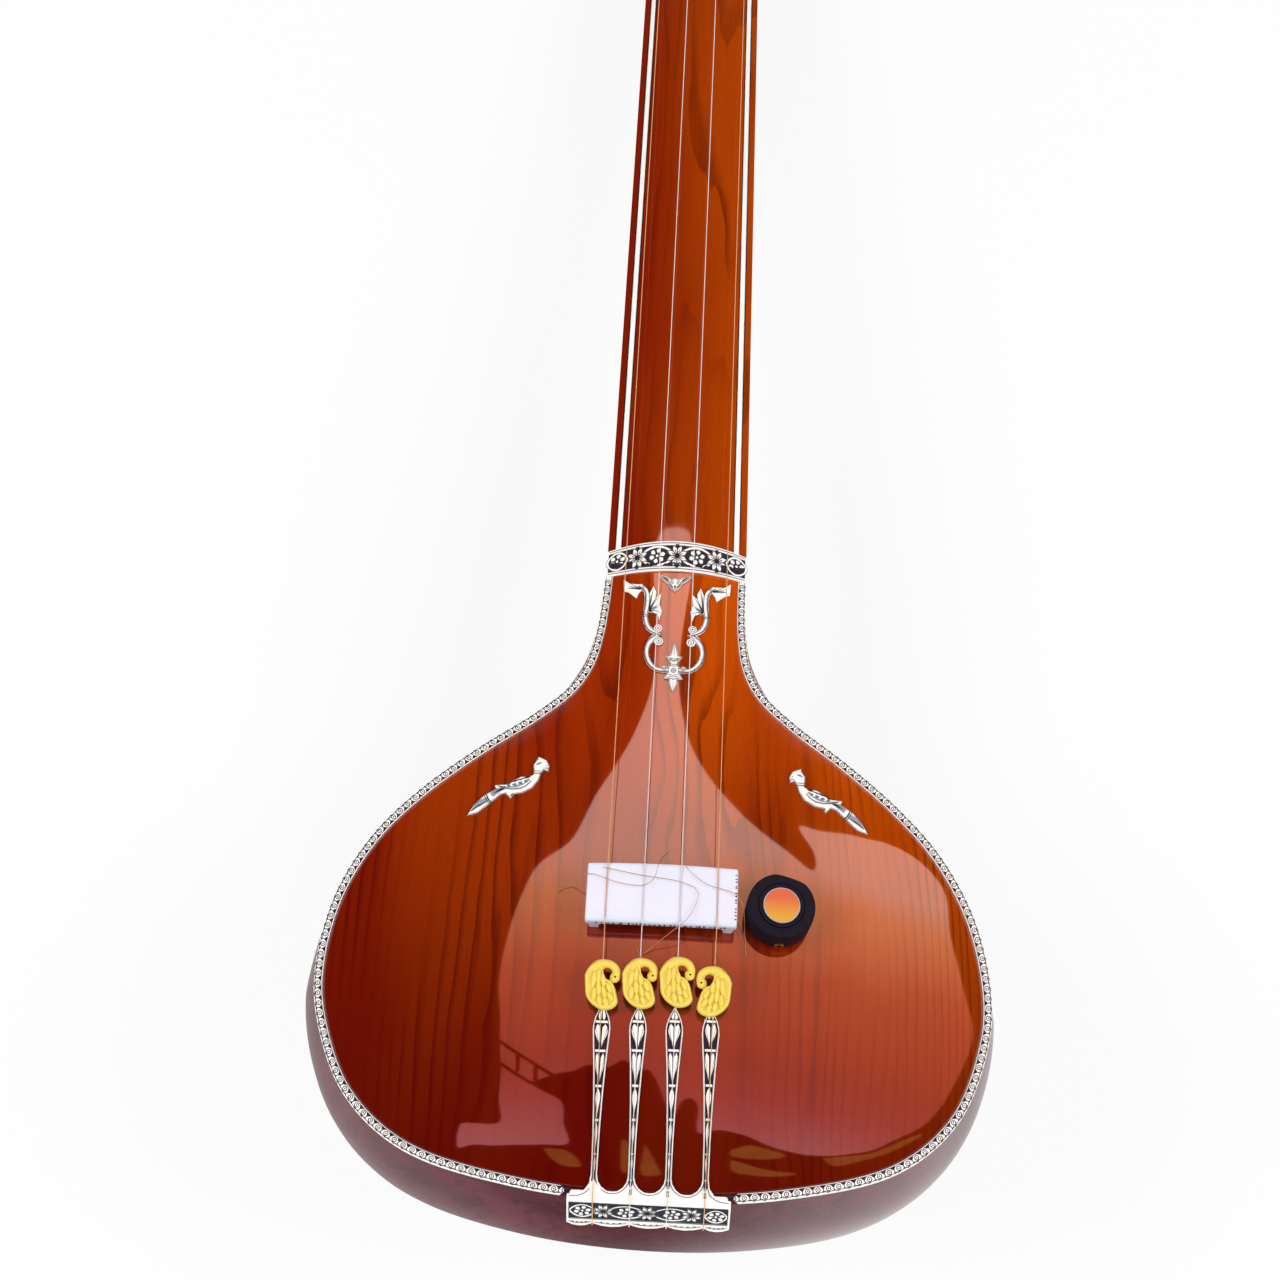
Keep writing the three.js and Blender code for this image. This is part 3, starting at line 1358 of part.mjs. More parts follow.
addPiece('gourd', carve(bodyShell, [pastYoke, floorTool, ...pinHoles]), gourdSkin);
addPiece('gulu', carve(bodyShell, [beforeYoke, pastJoint]), redWood);
addPiece('tabli', loft([...tabliUnder, ...tabliOver]), plateWood);
addPiece('rim_binding_left', binding(-1), ivoryWhite);
addPiece('rim_binding_right', binding(1), ivoryWhite);

const neckBlockBox = boxBetween(-reach, reach, bodyLength - tenonReach, bodyLength + tenonReach, -reach, 0);
addPiece('neck_block', common(fuse([bodyRoom, neckRoom]), neckBlockBox), plainWood);
const tailBlockBox = boxBetween(
  -tailPlateHalfWidth, tailPlateHalfWidth,
  -reach, tailBlockInnerY,
  -tailBlockTop - tailBlockHeight, -tailBlockTop,
);
addPiece('tail_block', carve(common(bodyRoom, tailBlockBox), pinHoles), plainWood);
const headBlockBox = boxBetween(-reach, reach, nutY + headBlockSetback, neckEndY, -headBlockDepth, 0);
const frontHoles = [pegHole(1), pegHole(2)];
addPiece('head_block', carve(common(neckRoom, headBlockBox), frontHoles), plainWood);

const trough = shell(
  [neckSection(neckStart, 0), neckSection(neckEndY, 0)],
  [neckSection(neckStart, neckWall), neckSection(neckEndY, neckWall)],
);
addPiece('dandi', carve(trough, [pegHole(0), pegHole(3)]), redWood);
const slots = [slot(nutY), slot(guideY)];
addPiece('neck_plate', carve(alongNeck(neckPlateSection()), [...slots, ...frontHoles]), plateWood);
addPiece('neck_strip_left', alongNeck(stripSection(-1)), ivoryWhite);
addPiece('neck_strip_right', alongNeck(stripSection(1)), ivoryWhite);
const neckBand = drape(slab(bandShape(), bandThickness), bandFineness, overJoint, bodyLength);
addPiece('neck_band', neckBand, ivoryWhite);
addPiece('head_cap', headCap(), ivoryWhite);

addPiece('scroll_ornament', scroll(), ivoryWhite);
addPiece('leaf_ornament', leafOrnament(), ivoryWhite);
addPiece('bird_left', bird(-1), ivoryWhite);
addPiece('bird_right', bird(1), ivoryWhite);

addPiece('tail_plate', tailPlate(), ivoryWhite);
addPiece('hitch_rail', hitchRail(), ivoryWhite);

addPiece('bridge_plate', bridgePlate(), bridgeWhite);
addPiece('bridge_base', bridgeBase(), bridgeWhite);
addPiece('nut', carve(crossBar(nutY, nutHeight), grooves()), ivoryWhite);
addPiece('string_guide', carve(crossBar(guideY, guideHeight), guideHoles()), ivoryWhite);

const windingGaps = [];
for (const k of strings) {
  const metal = isOuter(k) ? bronze : steel;
  const line = windingLine(k);
  addPiece(`hitch_pin_${k + 1}`, hitchPin(k), brass);
  addPiece(`string_${k + 1}`, wire(stringPath(k), stringRadius, stringSides), metal);
  addPiece(`winding_${k + 1}`, wire(line, stringRadius, windingSides), metal);
  addPiece(`peg_${k + 1}`, peg(k), redWood);
  addPiece(`bead_${k + 1}`, bead(k), beadYellow);
  windingGaps.push(leastGap(line));
}
console.log('least gap of a winding to itself, mm:', Math.min(...windingGaps).toFixed(3));

const pickupPad = upright(pickupRadius - pickupBevel, -inlayGap - pickupPadThickness, -inlayGap);
addPiece('pickup_pad', pickupPad, foam, pickup);
addPiece('pickup_housing', pickupHousing(), blackPlastic, pickup);
addPiece('pickup_cap', pickupCap, blackPlastic, pickup);
const pickupLabel = upright(pickupLabelRadius, labelFloor + seatGap, capTop + seatGap);
addPiece('pickup_label', pickupLabel, discRed, pickup);
addPiece('piezo_disc', upright(piezoRadius, seatGap, seatGap + piezoThickness), brass, pickup);
addPiece('jack_socket', jack, brass, pickup);

threadShares.forEach((shares, i) => {
  addPiece(`jivari_thread_${i + 1}`, wire(threadLine(shares), threadRadius, threadSides), goldThread);
});

export default instrument;
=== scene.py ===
import math

import bmesh
import bpy
import numpy as np
from mathutils import Matrix, Vector


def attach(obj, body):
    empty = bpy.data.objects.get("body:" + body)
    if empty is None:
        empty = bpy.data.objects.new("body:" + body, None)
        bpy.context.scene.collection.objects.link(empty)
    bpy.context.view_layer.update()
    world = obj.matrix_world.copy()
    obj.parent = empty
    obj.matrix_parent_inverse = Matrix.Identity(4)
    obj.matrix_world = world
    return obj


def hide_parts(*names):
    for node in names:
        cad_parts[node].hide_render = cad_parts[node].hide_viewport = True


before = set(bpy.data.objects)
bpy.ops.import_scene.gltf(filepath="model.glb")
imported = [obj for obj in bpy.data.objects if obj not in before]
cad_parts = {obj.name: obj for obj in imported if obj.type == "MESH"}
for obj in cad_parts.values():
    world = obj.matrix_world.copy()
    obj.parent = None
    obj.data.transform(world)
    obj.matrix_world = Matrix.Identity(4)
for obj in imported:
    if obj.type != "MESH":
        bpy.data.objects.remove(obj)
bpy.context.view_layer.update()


# How the instrument lies. It rests on the flat of its gourd and on the back end of its neck,
# and its pieces are measured along its own lines: across the soundboard, from the tail
# towards the head and out of the soundboard, in millimetres.
LEAN = 0.15840401705
TO_ROW = (
    Matrix.Translation((0, -0.114228922, 0.240996374))
    @ Matrix.Rotation(-LEAN, 4, "X")
    @ Matrix.Scale(0.001, 4)
)


def lay(points):
    """Places on the instrument, in millimetres, as places in the room, in metres."""
    turned = np.asarray(points, float) @ np.array(TO_ROW.to_3x3()).T
    return turned + np.array(TO_ROW.translation)


# The camera looks down on the gourd from the tail, and the neck runs out of the top of the picture.
def put(name, data):
    """A new object in the scene."""
    made = bpy.data.objects.new(name, data)
    bpy.context.scene.collection.objects.link(made)
    return made


VIEW_FROM = (2.7, -153.64, 1016)
VIEW_TILT, VIEW_TURN = math.radians(26), math.radians(2.74)
sin_t, cos_t = math.sin(VIEW_TILT), math.cos(VIEW_TILT)
sin_p, cos_p = math.sin(VIEW_TURN), math.cos(VIEW_TURN)
right = Vector((cos_p, sin_p, 0))
up = Vector((-cos_t * sin_p, cos_t * cos_p, sin_t))
back = Vector((sin_t * sin_p, -sin_t * cos_p, cos_t))
camera = put("camera", bpy.data.cameras.new("camera"))
camera.data.sensor_width = 36
camera.data.lens = 50.6
camera.data.clip_end = 60
turned = Matrix.Rotation(-LEAN, 3, "X") @ Matrix((right, up, back)).transposed()
camera.matrix_world = Matrix.Translation(TO_ROW @ Vector(VIEW_FROM)) @ turned.to_4x4()
bpy.context.scene.camera = camera


# Cotton threads, loose on the bridge. One should lie under each string to open its sound;
# here they have slipped out. They are limp and follow what they lie on.
class Layer:
    """One layer of a finish: a number or a colour that may change over the surface."""

    def __init__(self, tree, socket=None):
        self.tree = tree
        self.socket = socket

    def node(self, kind, settings, sockets, out=0):
        made = self.tree.nodes.new("ShaderNode" + kind)
        for name, value in settings.items():
            if name == "stops":
                ramp = made.color_ramp.elements
                for place, colour in value[:-1]:
                    ramp.new(place).color = (*colour, 1)
                ramp[0].position, ramp[0].color = value[0][0], (*value[0][1], 1)
                ramp.remove(ramp[1])
                ramp[-1].position, ramp[-1].color = value[-1][0], (*value[-1][1], 1)
            else:
                setattr(made, name, value)
        for name, value in sockets.items():
            socket = made.inputs[name]
            if isinstance(value, Layer):
                self.tree.links.new(value.socket, socket)
            elif socket.type == "RGBA":
                socket.default_value = (*value, 1)
            else:
                socket.default_value = value
        return Layer(self.tree, made.outputs[out])

    def reckon(self, operation, *others):
        return self.node("Math", {"operation": operation}, dict(enumerate((self, *others))))

    def __add__(self, other):
        return self.reckon("ADD", other)

    __radd__ = __add__

    def __mul__(self, other):
        return self.reckon("MULTIPLY", other)

    __rmul__ = __mul__

    def __sub__(self, other):
        return self.reckon("SUBTRACT", other)

    def __rsub__(self, other):
        return self.node("Math", {"operation": "SUBTRACT"}, {0: other, 1: self})

    def __truediv__(self, other):
        return self.reckon("DIVIDE", other)

    def __pow__(self, other):
        return self.reckon("POWER", other)

    def split(self):
        parts = self.node("SeparateXYZ", {}, {0: self})
        node = parts.socket.node
        return [Layer(self.tree, output) for output in node.outputs]

    def step(self, low, high):
        """0 below low and 1 above high, smooth in between."""
        return self.node(
            "MapRange",
            {"interpolation_type": "SMOOTHSTEP"},
            {"Value": self, "From Min": low, "From Max": high},
        )

    def blend(self, first, second):
        """first where this layer is 0 and second where it is 1."""
        return self.node("Mix", {"data_type": "RGBA"}, {0: self, 6: first, 7: second}, 2)

    def stretched(self, x, y, z):
        return self.node("Mapping", {}, {"Vector": self, "Scale": (x, y, z)})

    def cloud(self, detail=2.0, distortion=0.0, scale=1.0):
        sockets = {"Vector": self, "Scale": scale, "Detail": detail, "Distortion": distortion}
        return self.node("TexNoise", {}, sockets)


def finish(name, **constants):
    """A new material: the material itself, its surface shader and places on the object."""
    material = bpy.data.materials.new(name)
    material.use_nodes = True
    shader = material.node_tree.nodes["Principled BSDF"]
    for socket, value in constants.items():
        shader.inputs[socket.replace("_", " ")].default_value = value
    place = Layer(material.node_tree).node("TexCoord", {}, {}, 3)
    return material, shader, place


def feed(shader, socket, layer):
    layer.tree.links.new(layer.socket, shader.inputs[socket])


def mottled(name, first, second, scale, detail=2.0, **constants):
    """A new material whose colour drifts between two."""
    material, shader, place = finish(name, **constants)
    feed(shader, "Base Color", place.cloud(detail, 0.0, scale).blend(first, second))
    return material


def smooth_line(places, count):
    """Evenly spaced places on a smooth line through some places."""
    given = [np.asarray(p, float) for p in places]
    given = [2 * given[0] - given[1], *given, 2 * given[-1] - given[-2]]
    line = []
    for before, start, end, after in zip(given, given[1:], given[2:], given[3:]):
        hops = ((before, start), (start, end), (end, after))
        knots = np.cumsum([0, *(np.linalg.norm(b - a) ** 0.5 for a, b in hops)])
        t = np.linspace(knots[1], knots[2], 24, endpoint=False)[:, None]

        def between(a, b, i, j):
            return a + (b - a) * (t - knots[i]) / (knots[j] - knots[i])

        first, second, third = (between(a, b, i, i + 1) for i, (a, b) in enumerate(hops))
        line.extend(between(between(first, second, 0, 2), between(second, third, 1, 3), 1, 2))
    line = np.array([*line, given[-2]])
    run = np.concatenate([[0], np.cumsum(np.linalg.norm(np.diff(line, axis=0), axis=1))])
    at = np.linspace(0, run[-1], count)
    return np.stack([np.interp(at, run, line[:, i]) for i in range(line.shape[1])], 1)


THREAD_RADIUS = 0.2
THREADS = [
    [
        (-34.4, 178.1, 38.1), (-12.9, 174.4, 38.1), (10.3, 171.3, 38.1), (20.2, 166.5, 38.1),
        (18.9, 157, 38.1), (13.8, 148.5, 38.1), (6, 143.4, 32.8), (-3.4, 138, 23),
        (-11.2, 132.9, 19.3), (-12.9, 137.3, 19.3),
    ],
    [
        (-60.2, 169.3, 17.4), (-53.3, 172.7, 17.5), (-46.9, 174, 29.9), (-40.4, 173.7, 38.7),
        (-25.8, 169.3, 38.7), (-8.6, 168.6, 39.1), (-3.9, 174.7, 39.5), (-2.6, 182.5, 38.7),
        (-1.7, 186.9, 28.9), (-1.7, 191.7, 17.3), (2.6, 196.8, 17.1),
    ],
    [
        (11.2, 195.1, 17.1), (11.2, 189, 25.7), (12, 181.5, 38.1), (18.9, 174.7, 38.1),
        (25.8, 170.3, 38.1), (36.1, 167.6, 38.1), (43, 164.5, 38.1), (46.9, 157.7, 31.1),
        (47.7, 150.2, 23.2), (48.6, 143.4, 18.3), (49, 135.6, 18.4),
    ],
]
cotton = mottled("cotton_thread", (0.36, 0.15, 0.06), (0.62, 0.33, 0.16), 2500, Roughness=0.8)
for k, places in enumerate(THREADS, 1):
    route = lay(smooth_line(places, 27))
    curve = bpy.data.curves.new(f"thread_{k}", "CURVE")
    curve.dimensions = "3D"
    curve.bevel_depth = THREAD_RADIUS / 1000
    curve.bevel_resolution = 2
    curve.use_fill_caps = True
    spline = curve.splines.new("POLY")
    spline.points.add(len(route) - 1)
    for knot, p in zip(spline.points, route):
        knot.co = (*p, 1)
    curve.materials.append(cotton)
    thread = put(f"thread_{k}", curve)
    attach(thread, "instrument")
    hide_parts(f"jivari_thread_{k}")
    length = float(np.linalg.norm(np.diff(route, axis=0), axis=1).sum())


# Gourd. A dried pumpkin shell, cut open and hollowed, rubbed smooth and lacquered dark purple
# brown. The shell is thick at the rim, where the soundboard sits on a ledge.
def relief(shader, height, distance, strength):
    """Height in shares of a distance in metres."""
    sockets = {"Height": height, "Distance": distance, "Strength": strength}
    feed(shader, "Normal", height.node("Bump", {}, sockets))


def rounded(node, material, levels=2, sharp=35, body="instrument"):
    """A finer copy of a piece, with its facets rounded off and its sharp edges kept."""
    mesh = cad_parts[node].data.copy()
    work = bmesh.new()
    work.from_mesh(mesh)
    bmesh.ops.remove_doubles(work, verts=work.verts, dist=2e-6)
    flat, square = math.radians(30), math.radians(50)
    bmesh.ops.join_triangles(work, faces=work.faces, angle_face_threshold=flat, angle_shape_threshold=square)
    crease = work.edges.layers.float.new("crease_edge")
    for edge in work.edges:
        if len(edge.link_faces) == 2 and edge.calc_face_angle() > math.radians(sharp):
            edge[crease] = 1
            edge.smooth = False
    for face in work.faces:
        face.smooth = True
    work.to_mesh(mesh)
    work.free()
    if mesh.has_custom_normals:
        mesh.attributes.remove(mesh.attributes["custom_normal"])
    mesh.materials.clear()
    mesh.materials.append(material)
    piece = put(f"{node}_piece", mesh)
    subdivision = piece.modifiers.new("round", "SUBSURF")
    subdivision.levels = subdivision.render_levels = levels
    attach(piece, body)
    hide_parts(node)


gourd_skin, gourd_shader, place = finish(
    "lacquered_gourd", Roughness=0.5, Specular_IOR_Level=0.0, Coat_Roughness=0.16, Coat_IOR=1.45
)
x, y, z = place.split()
gloss = x.step(-0.02, 0.13) * 0.95 + (x * -1).step(0.02, 0.19) * 0.45 + 0.13
feed(gourd_shader, "Coat Weight", gloss)
blotch = place.cloud(4.0, 0.6, 14).step(0.3, 0.72)
skin = blotch.blend((0.085, 0.014, 0.022), (0.15, 0.028, 0.042))
veins = place.cloud(5.0, 1.2, 60).step(0.5, 0.62)
feed(gourd_shader, "Base Color", (veins * 0.35).blend(skin, (0.03, 0.004, 0.006)))
relief(gourd_shader, place.cloud(3.0, 0.0, 22), 0.0012, 0.35)
rounded("gourd", gourd_skin)


# Yoke, neck and cap of the head. The yoke joins the hollow neck to the gourd; both are carved
# of red cedar with the grain along the neck, stained and varnished to a deep gloss. The blocks
# inside them are left bare.
# The second number is how far from the tail the soundboard's painted shade reaches.
RINGS_MEANDER, TAIL_SHADE_REACH = 2.6, 380


def dress(material, *nodes):
    """Gives pieces of the frame their finish."""
    for node in nodes:
        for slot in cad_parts[node].material_slots:
            slot.material = material


def varnished_wood(name, deep, pale, dark_line, heart, spacing, gloss=0.03, slope=0.0, painted_tail_shade=None):
    """Wood with its grain along the instrument. heart is how far across and below the tree's
    middle ran, slope how much paler it grows to the right, and the last argument the colour of a
    shade painted towards the tail, where less light falls."""
    material, shader, place = finish(
        name, Roughness=0.5, Specular_IOR_Level=0.0, Coat_Weight=1.0, Coat_Roughness=gloss, Coat_IOR=1.75
    )
    back = {"Scale": (1000,) * 3, "Rotation": (LEAN, 0, 0), "Location": TO_ROW.inverted().translation}
    along = place.node("Mapping", {}, {"Vector": place, **back})
    x, y, z = along.split()
    wander = along.stretched(0.008, 0.0022, 0.008).cloud(2.0, 0.2) - 0.5
    depth = wander * 60 + heart[1]
    across = x - heart[0] + wander * 50
    distance = (across * across + depth * depth) ** 0.5
    turn = distance / spacing + along.stretched(0.03, 0.004, 0.03).cloud(3.0, 0.4) * RINGS_MEANDER
    ring = turn.reckon("FRACT")
    late = ring.step(0.5, 0.95) * (1 - ring.step(0.95, 1.0))
    faint = along.stretched(0.02, 0.004, 0.02).cloud(2.0, 0.3).step(0.35, 0.65)
    streak = along.stretched(0.035, 0.0018, 0.035).cloud(3.0, 0.8).step(0.55, 0.8)
    fibre = along.stretched(0.9, 0.018, 0.9).cloud(4.0, 0.2)
    broad = along.stretched(0.006, 0.0016, 0.006).cloud(2.0, 0.4).step(0.35, 0.7)
    body = (broad * (1 - abs(slope) * 30) + x * slope + abs(slope) * 20).blend(deep, pale)
    body = (late * (faint * 0.5 + 0.05) + fibre * 0.3).blend(body, dark_line)
    body = (streak * 0.5).blend(body, dark_line)
    # Painted shade, not a stain: the wood darkens towards the tail, where less light falls.
    if painted_tail_shade:
        body = ((1 - y.step(0, TAIL_SHADE_REACH)) * 0.9).blend(body, painted_tail_shade)
    feed(shader, "Base Color", body)
    pores = along.stretched(2.4, 0.07, 2.4).cloud(2.0).step(0.62, 0.7)
    relief(shader, fibre * 0.25 + pores * -0.2, 0.0001, 0.4)
    return material


neck_wood = varnished_wood(
    "neck_wood", (0.24, 0.011, 0.0006), (0.47, 0.06, 0.0008), (0.09, 0.004, 0.0006), (20, 70), 5.5, slope=0.012
)
side_wood = varnished_wood(
    "side_wood", (0.14, 0.006, 0.0006), (0.21, 0.012, 0.0006), (0.05, 0.0015, 0.0006), (0, 160), 6.0
)
rounded("gulu", side_wood)
rounded("dandi", side_wood, 1)
rounded("head_cap", side_wood)
rough_wood = varnished_wood(
    "bare_wood", (0.32, 0.19, 0.09), (0.42, 0.26, 0.13), (0.2, 0.1, 0.04), (0, 90), 4.0, gloss=0.5
)
dress(rough_wood, "neck_block", "tail_block", "head_block")


# Soundboard and neck plate. The soundboard is one thin board of red cedar, planed, arched and
# glued on the gourd's ledge; the plate closes the hollow neck. Both have many coats of varnish.
HALF_WIDTH, LENGTH, NECK_HALF = 194, 392, 44.4
BODY_LEAN, WIDEST = -4.3, 0.3125
LOWER = [(0, 0), (0.39, 0.0145), (0.709, 0.0574), (0.884, 0.13), (0.98, 0.236)]
UPPER = [
    (1, WIDEST), (0.953, 0.4245), (0.831, 0.521), (0.663, 0.597), (0.443, 0.671),
    (0.243, 0.729), (0.106, 0.779), (0.045, 0.8225), (0.015, 0.881), (0, 1),
]
BINDING, SEAT = 5.0, 0.3
CROWN, CROWN_POWER, NECK_CROWN, BOARD = 14.5, 2.2, 2, 3.8


def body_lean(y):
    """How far the body's middle lies to one side."""
    return BODY_LEAN * np.sin(np.pi * np.clip(y / LENGTH, 0, 1))


side = [(x * HALF_WIDTH, y * LENGTH) for x, y in LOWER]
side += [(NECK_HALF + (HALF_WIDTH - NECK_HALF) * x, y * LENGTH) for x, y in UPPER]
outline = smooth_line(side[::-1] + [(-x, y) for x, y in side[1:]], 481)
outline[:, 0] += body_lean(outline[:, 1])
along = np.gradient(outline, axis=0)
along /= np.linalg.norm(along, axis=1)[:, None]
outward = np.stack([-along[:, 1], along[:, 0]], 1) * -1
outward *= np.sign((outward * (outline - (0, WIDEST * LENGTH))).sum(1).mean())
outward[0], outward[-1] = (1, 0), (-1, 0)
MIDDLE = np.array([BODY_LEAN * math.sin(math.pi * WIDEST), WIDEST * LENGTH])

board_edge = outline - outward * (BINDING + SEAT)
from_middle = board_edge - MIDDLE
bearing = np.arctan2(from_middle[:, 1], from_middle[:, 0]) % (2 * math.pi)
order = np.argsort(bearing)
bearings, reaches = bearing[order], np.hypot(*from_middle.T)[order]
right_side = board_edge[: len(board_edge) // 2][::-1]


def board_top(x, y):
    """Height of the soundboard's face over the rim."""
    x, y = np.broadcast_arrays(np.asarray(x, float), np.asarray(y, float))
    angle = np.arctan2(y - MIDDLE[1], x - MIDDLE[0]) % (2 * math.pi)
    edge = np.interp(angle, bearings, reaches, period=2 * math.pi)
    round_tail = np.hypot(x - MIDDLE[0], y - MIDDLE[1]) / edge
    half = np.interp(y, right_side[:, 1], right_side[:, 0]) - body_lean(y)
    share = np.minimum(np.where(y > MIDDLE[1], abs(x - body_lean(y)) / half, round_tail), 1)
    up_body = np.clip((y - MIDDLE[1]) / (LENGTH - MIDDLE[1]), 0, 1)
    crown = CROWN + (NECK_CROWN - CROWN) * up_body**2 * (3 - 2 * up_body)
    return SEAT + BOARD + crown * (1 - share**CROWN_POWER)


def quads(rows, count, closed=True):
    """Faces between rows of places that follow one another in a list."""
    for i in range(rows - 1):
        for j in range(count if closed else count - 1):
            k = (j + 1) % count
            yield i * count + j, i * count + k, (i + 1) * count + k, (i + 1) * count + j


def shaped(name, points, faces, edges=()):
    """A new mesh."""
    mesh = bpy.data.meshes.new(name)
    mesh.from_pydata([tuple(p) for p in points], edges, [tuple(map(int, face)) for face in faces])
    return mesh


def make(name, points, faces, material, smooth=True):
    """A piece of the object from its places on the instrument and its faces."""
    mesh = shaped(name, lay(points), faces)
    mesh.polygons.foreach_set("use_smooth", [smooth] * len(mesh.polygons))
    mesh.update()
    mesh.materials.append(material)
    piece = put(name, mesh)
    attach(piece, "instrument")
    return piece


# The soundboard darkens towards the tail with painted shade, standing in for the lesser light there.
board_wood = varnished_wood(
    "board_wood", (0.34, 0.02, 0.0005), (0.8, 0.12, 0.0007), (0.07, 0.0018, 0.0005), (-30, 95), 5.5,
    slope=0.0045, painted_tail_shade=(0.085, 0.0004, 0.0003),
)
shares = np.concatenate([np.linspace(0, 0.9, 37), np.linspace(0.91, 1, 12)])[1:]
neck_end = np.linspace(board_edge[-1], board_edge[0], 24)[1:]
rim = np.concatenate([board_edge[::2], neck_end])[:-1]
count = len(rim)
places = np.concatenate([MIDDLE[None], *(MIDDLE + (rim - MIDDLE) * share for share in shares)])
top = np.column_stack([places, board_top(*places.T)])
under = top - (0, 0, BOARD)
below, last = len(top), len(top) - count
faces = []
for j in range(count):
    k = (j + 1) % count
    faces += [(0, 1 + k, 1 + j), (below, below + 1 + j, below + 1 + k)]
    faces.append((last + j, last + k, below + last + k, below + last + j))
for face in quads(len(shares), count):
    a, b, c, d = (1 + i for i in face)
    faces += [(a, b, c, d), (below + a, below + d, below + c, below + b)]
soundboard = make("soundboard", np.concatenate([top, under]), faces, board_wood)
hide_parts("tabli")
rounded("neck_plate", neck_wood, 1)


# Rim binding. Two strips of white plastic, engraved all along with curling scrolls that are
# rubbed with black, glued in the corner between the soundboard and the gourd.
ivory, ivory_shader, place = finish("engraved_white", Roughness=0.35, Coat_Weight=0.4, Coat_Roughness=0.15)
aged = place.cloud(3.0, 0.0, 90).step(0.3, 0.8).blend((0.93, 0.92, 0.86), (0.98, 0.98, 0.95))
scratches = place.stretched(1, 6, 1).cloud(3.0, 0.0, 900)
feed(ivory_shader, "Base Color", (scratches.step(0.6, 0.75) * 0.1).blend(aged, (0.7, 0.7, 0.7)))
relief(ivory_shader, scratches, 0.00004, 0.5)
# This black also serves as the painted shade in the bridge's nicks.
ink, ink_shader, place = finish("engraving_black_and_nick_shade", Roughness=0.6)
worn = place.cloud(3.0, 0.0, 900).step(0.45, 0.8)
feed(ink_shader, "Base Color", worn.blend((0.003, 0.004, 0.016), (0.035, 0.04, 0.075)))
FILM, FILM_LIFT, FILM_STEP, PEN = 0.00004, 0.12, 0.05, 1.6


def beside(line, distance):
    """A line moved sideways."""
    way = np.gradient(np.asarray(line, float), axis=0)
    way /= np.linalg.norm(way, axis=1)[:, None]
    return line + np.stack([-way[:, 1], way[:, 0]], 1) * distance


def strip(line, width):
    """A flat line of some width, or of a width at each end and in the middle."""
    n, width = len(line), np.atleast_1d(width)
    half = np.interp(np.linspace(0, 1, n), np.linspace(0, 1, len(width)), width)[:, None] / 2
    points = np.concatenate([beside(line, half), beside(line, -half)])
    return points, [(i + n, i + n + 1, i + 1, i) for i in range(n - 1)]


def pen(line, width):
    """A drawn line, as broad as the graver leaves it."""
    return strip(line, PEN * np.asarray(width, float))


def patch(points):
    """A filled flat shape with no hollow seen from its middle."""
    points = np.asarray(points, float)
    middle = points.mean(0)
    flat = points - middle
    if (flat[:, 0] * np.roll(flat[:, 1], -1) - flat[:, 1] * np.roll(flat[:, 0], -1)).sum() < 0:
        points = points[::-1]
    n = len(points)
    return np.concatenate([points, middle[None]]), [(i, (i + 1) % n, n) for i in range(n)]


def arc(x, y, across, along, start, end, steps):
    turn = np.radians(np.linspace(start, end, steps))
    return np.stack([x + across * np.cos(turn), y + along * np.sin(turn)], 1)


def oval(x, y, across, along, steps=20):
    return patch(arc(x, y, across, along, 0, 360, steps + 1)[:-1])


def hoop(x, y, across, along, width, steps=24):
    return pen(arc(x, y, across, along, 0, 360, steps + 1), width)


def thicken(piece):
    """Gives flat shapes the thickness of a film of colour."""
    thick = piece.modifiers.new("film", "SOLIDIFY")
    thick.thickness, thick.offset = FILM, -1


def film(name, layers, over):
    """Thin flat shapes, black and white by turns from below, laid over a surface."""
    for depth, (material, shapes) in enumerate(layers):
        points, faces = [], []
        for shape_points, shape_faces in shapes:
            start = len(points)
            points += list(shape_points)
            faces += [tuple(i + start for i in face) for face in shape_faces]
        lifted = over(*np.array(points).T, FILM_LIFT + FILM_STEP * depth)
        thicken(make(f"{name}_{depth + 1}", lifted, faces, material, smooth=False))


def worked_out(piece):
    """The mesh that a piece's modifiers make."""
    return bpy.data.meshes.new_from_object(piece.evaluated_get(bpy.context.evaluated_depsgraph_get()))


def crisp(piece, angle=50):
    """Keeps the corners of a smooth piece sharp."""
    corners = piece.modifiers.new("corners", "EDGE_SPLIT")
    corners.split_angle = math.radians(angle)


def rimward(side):
    """Line along the binding's outer edge, from the neck to beside the tail plate."""
    half = [(p, n) for p, n in zip(outline, outward) if p[0] * side > (0 if p[1] > MIDDLE[1] else TAIL_GAP)]
    if side < 0:
        half.reverse()
    return np.array([p for p, n in half]), np.array([n for p, n in half])


def on_binding(x, y, z):
    return np.stack([x, y, np.full_like(x, BINDING_TOP) + z], 1)


BINDING_TOP, BINDING_ROUND, TAIL_GAP, TAPER = 4.3, 0.7, 46, 2.5
NECK_GAP, UNDER_BAND, SCROLL_LIFT = 0.15, 12, 0.05
MOTIF_SPAN = 5.75
motif = [
    hoop(2.9, 2.35, 1.2, 1.2, 0.3, 16),
    oval(2.9, 2.35, 0.42, 0.42, 8),
    pen(arc(3.2, 2.3, 1.95, 1.95, 250, 330, 8), (0.1, 0.28, 0.2)),
    patch([(4.0, 4.15), (7.5, 4.15), (6.5, 3.1), (5.75, 2.3), (5.0, 3.1)]),
    pen([(5.75, 2.7), (5.6, 1.0)], 0.3),
    patch([(4.8, 0.8), (6.7, 0.8), (5.75, 1.7)]),
]

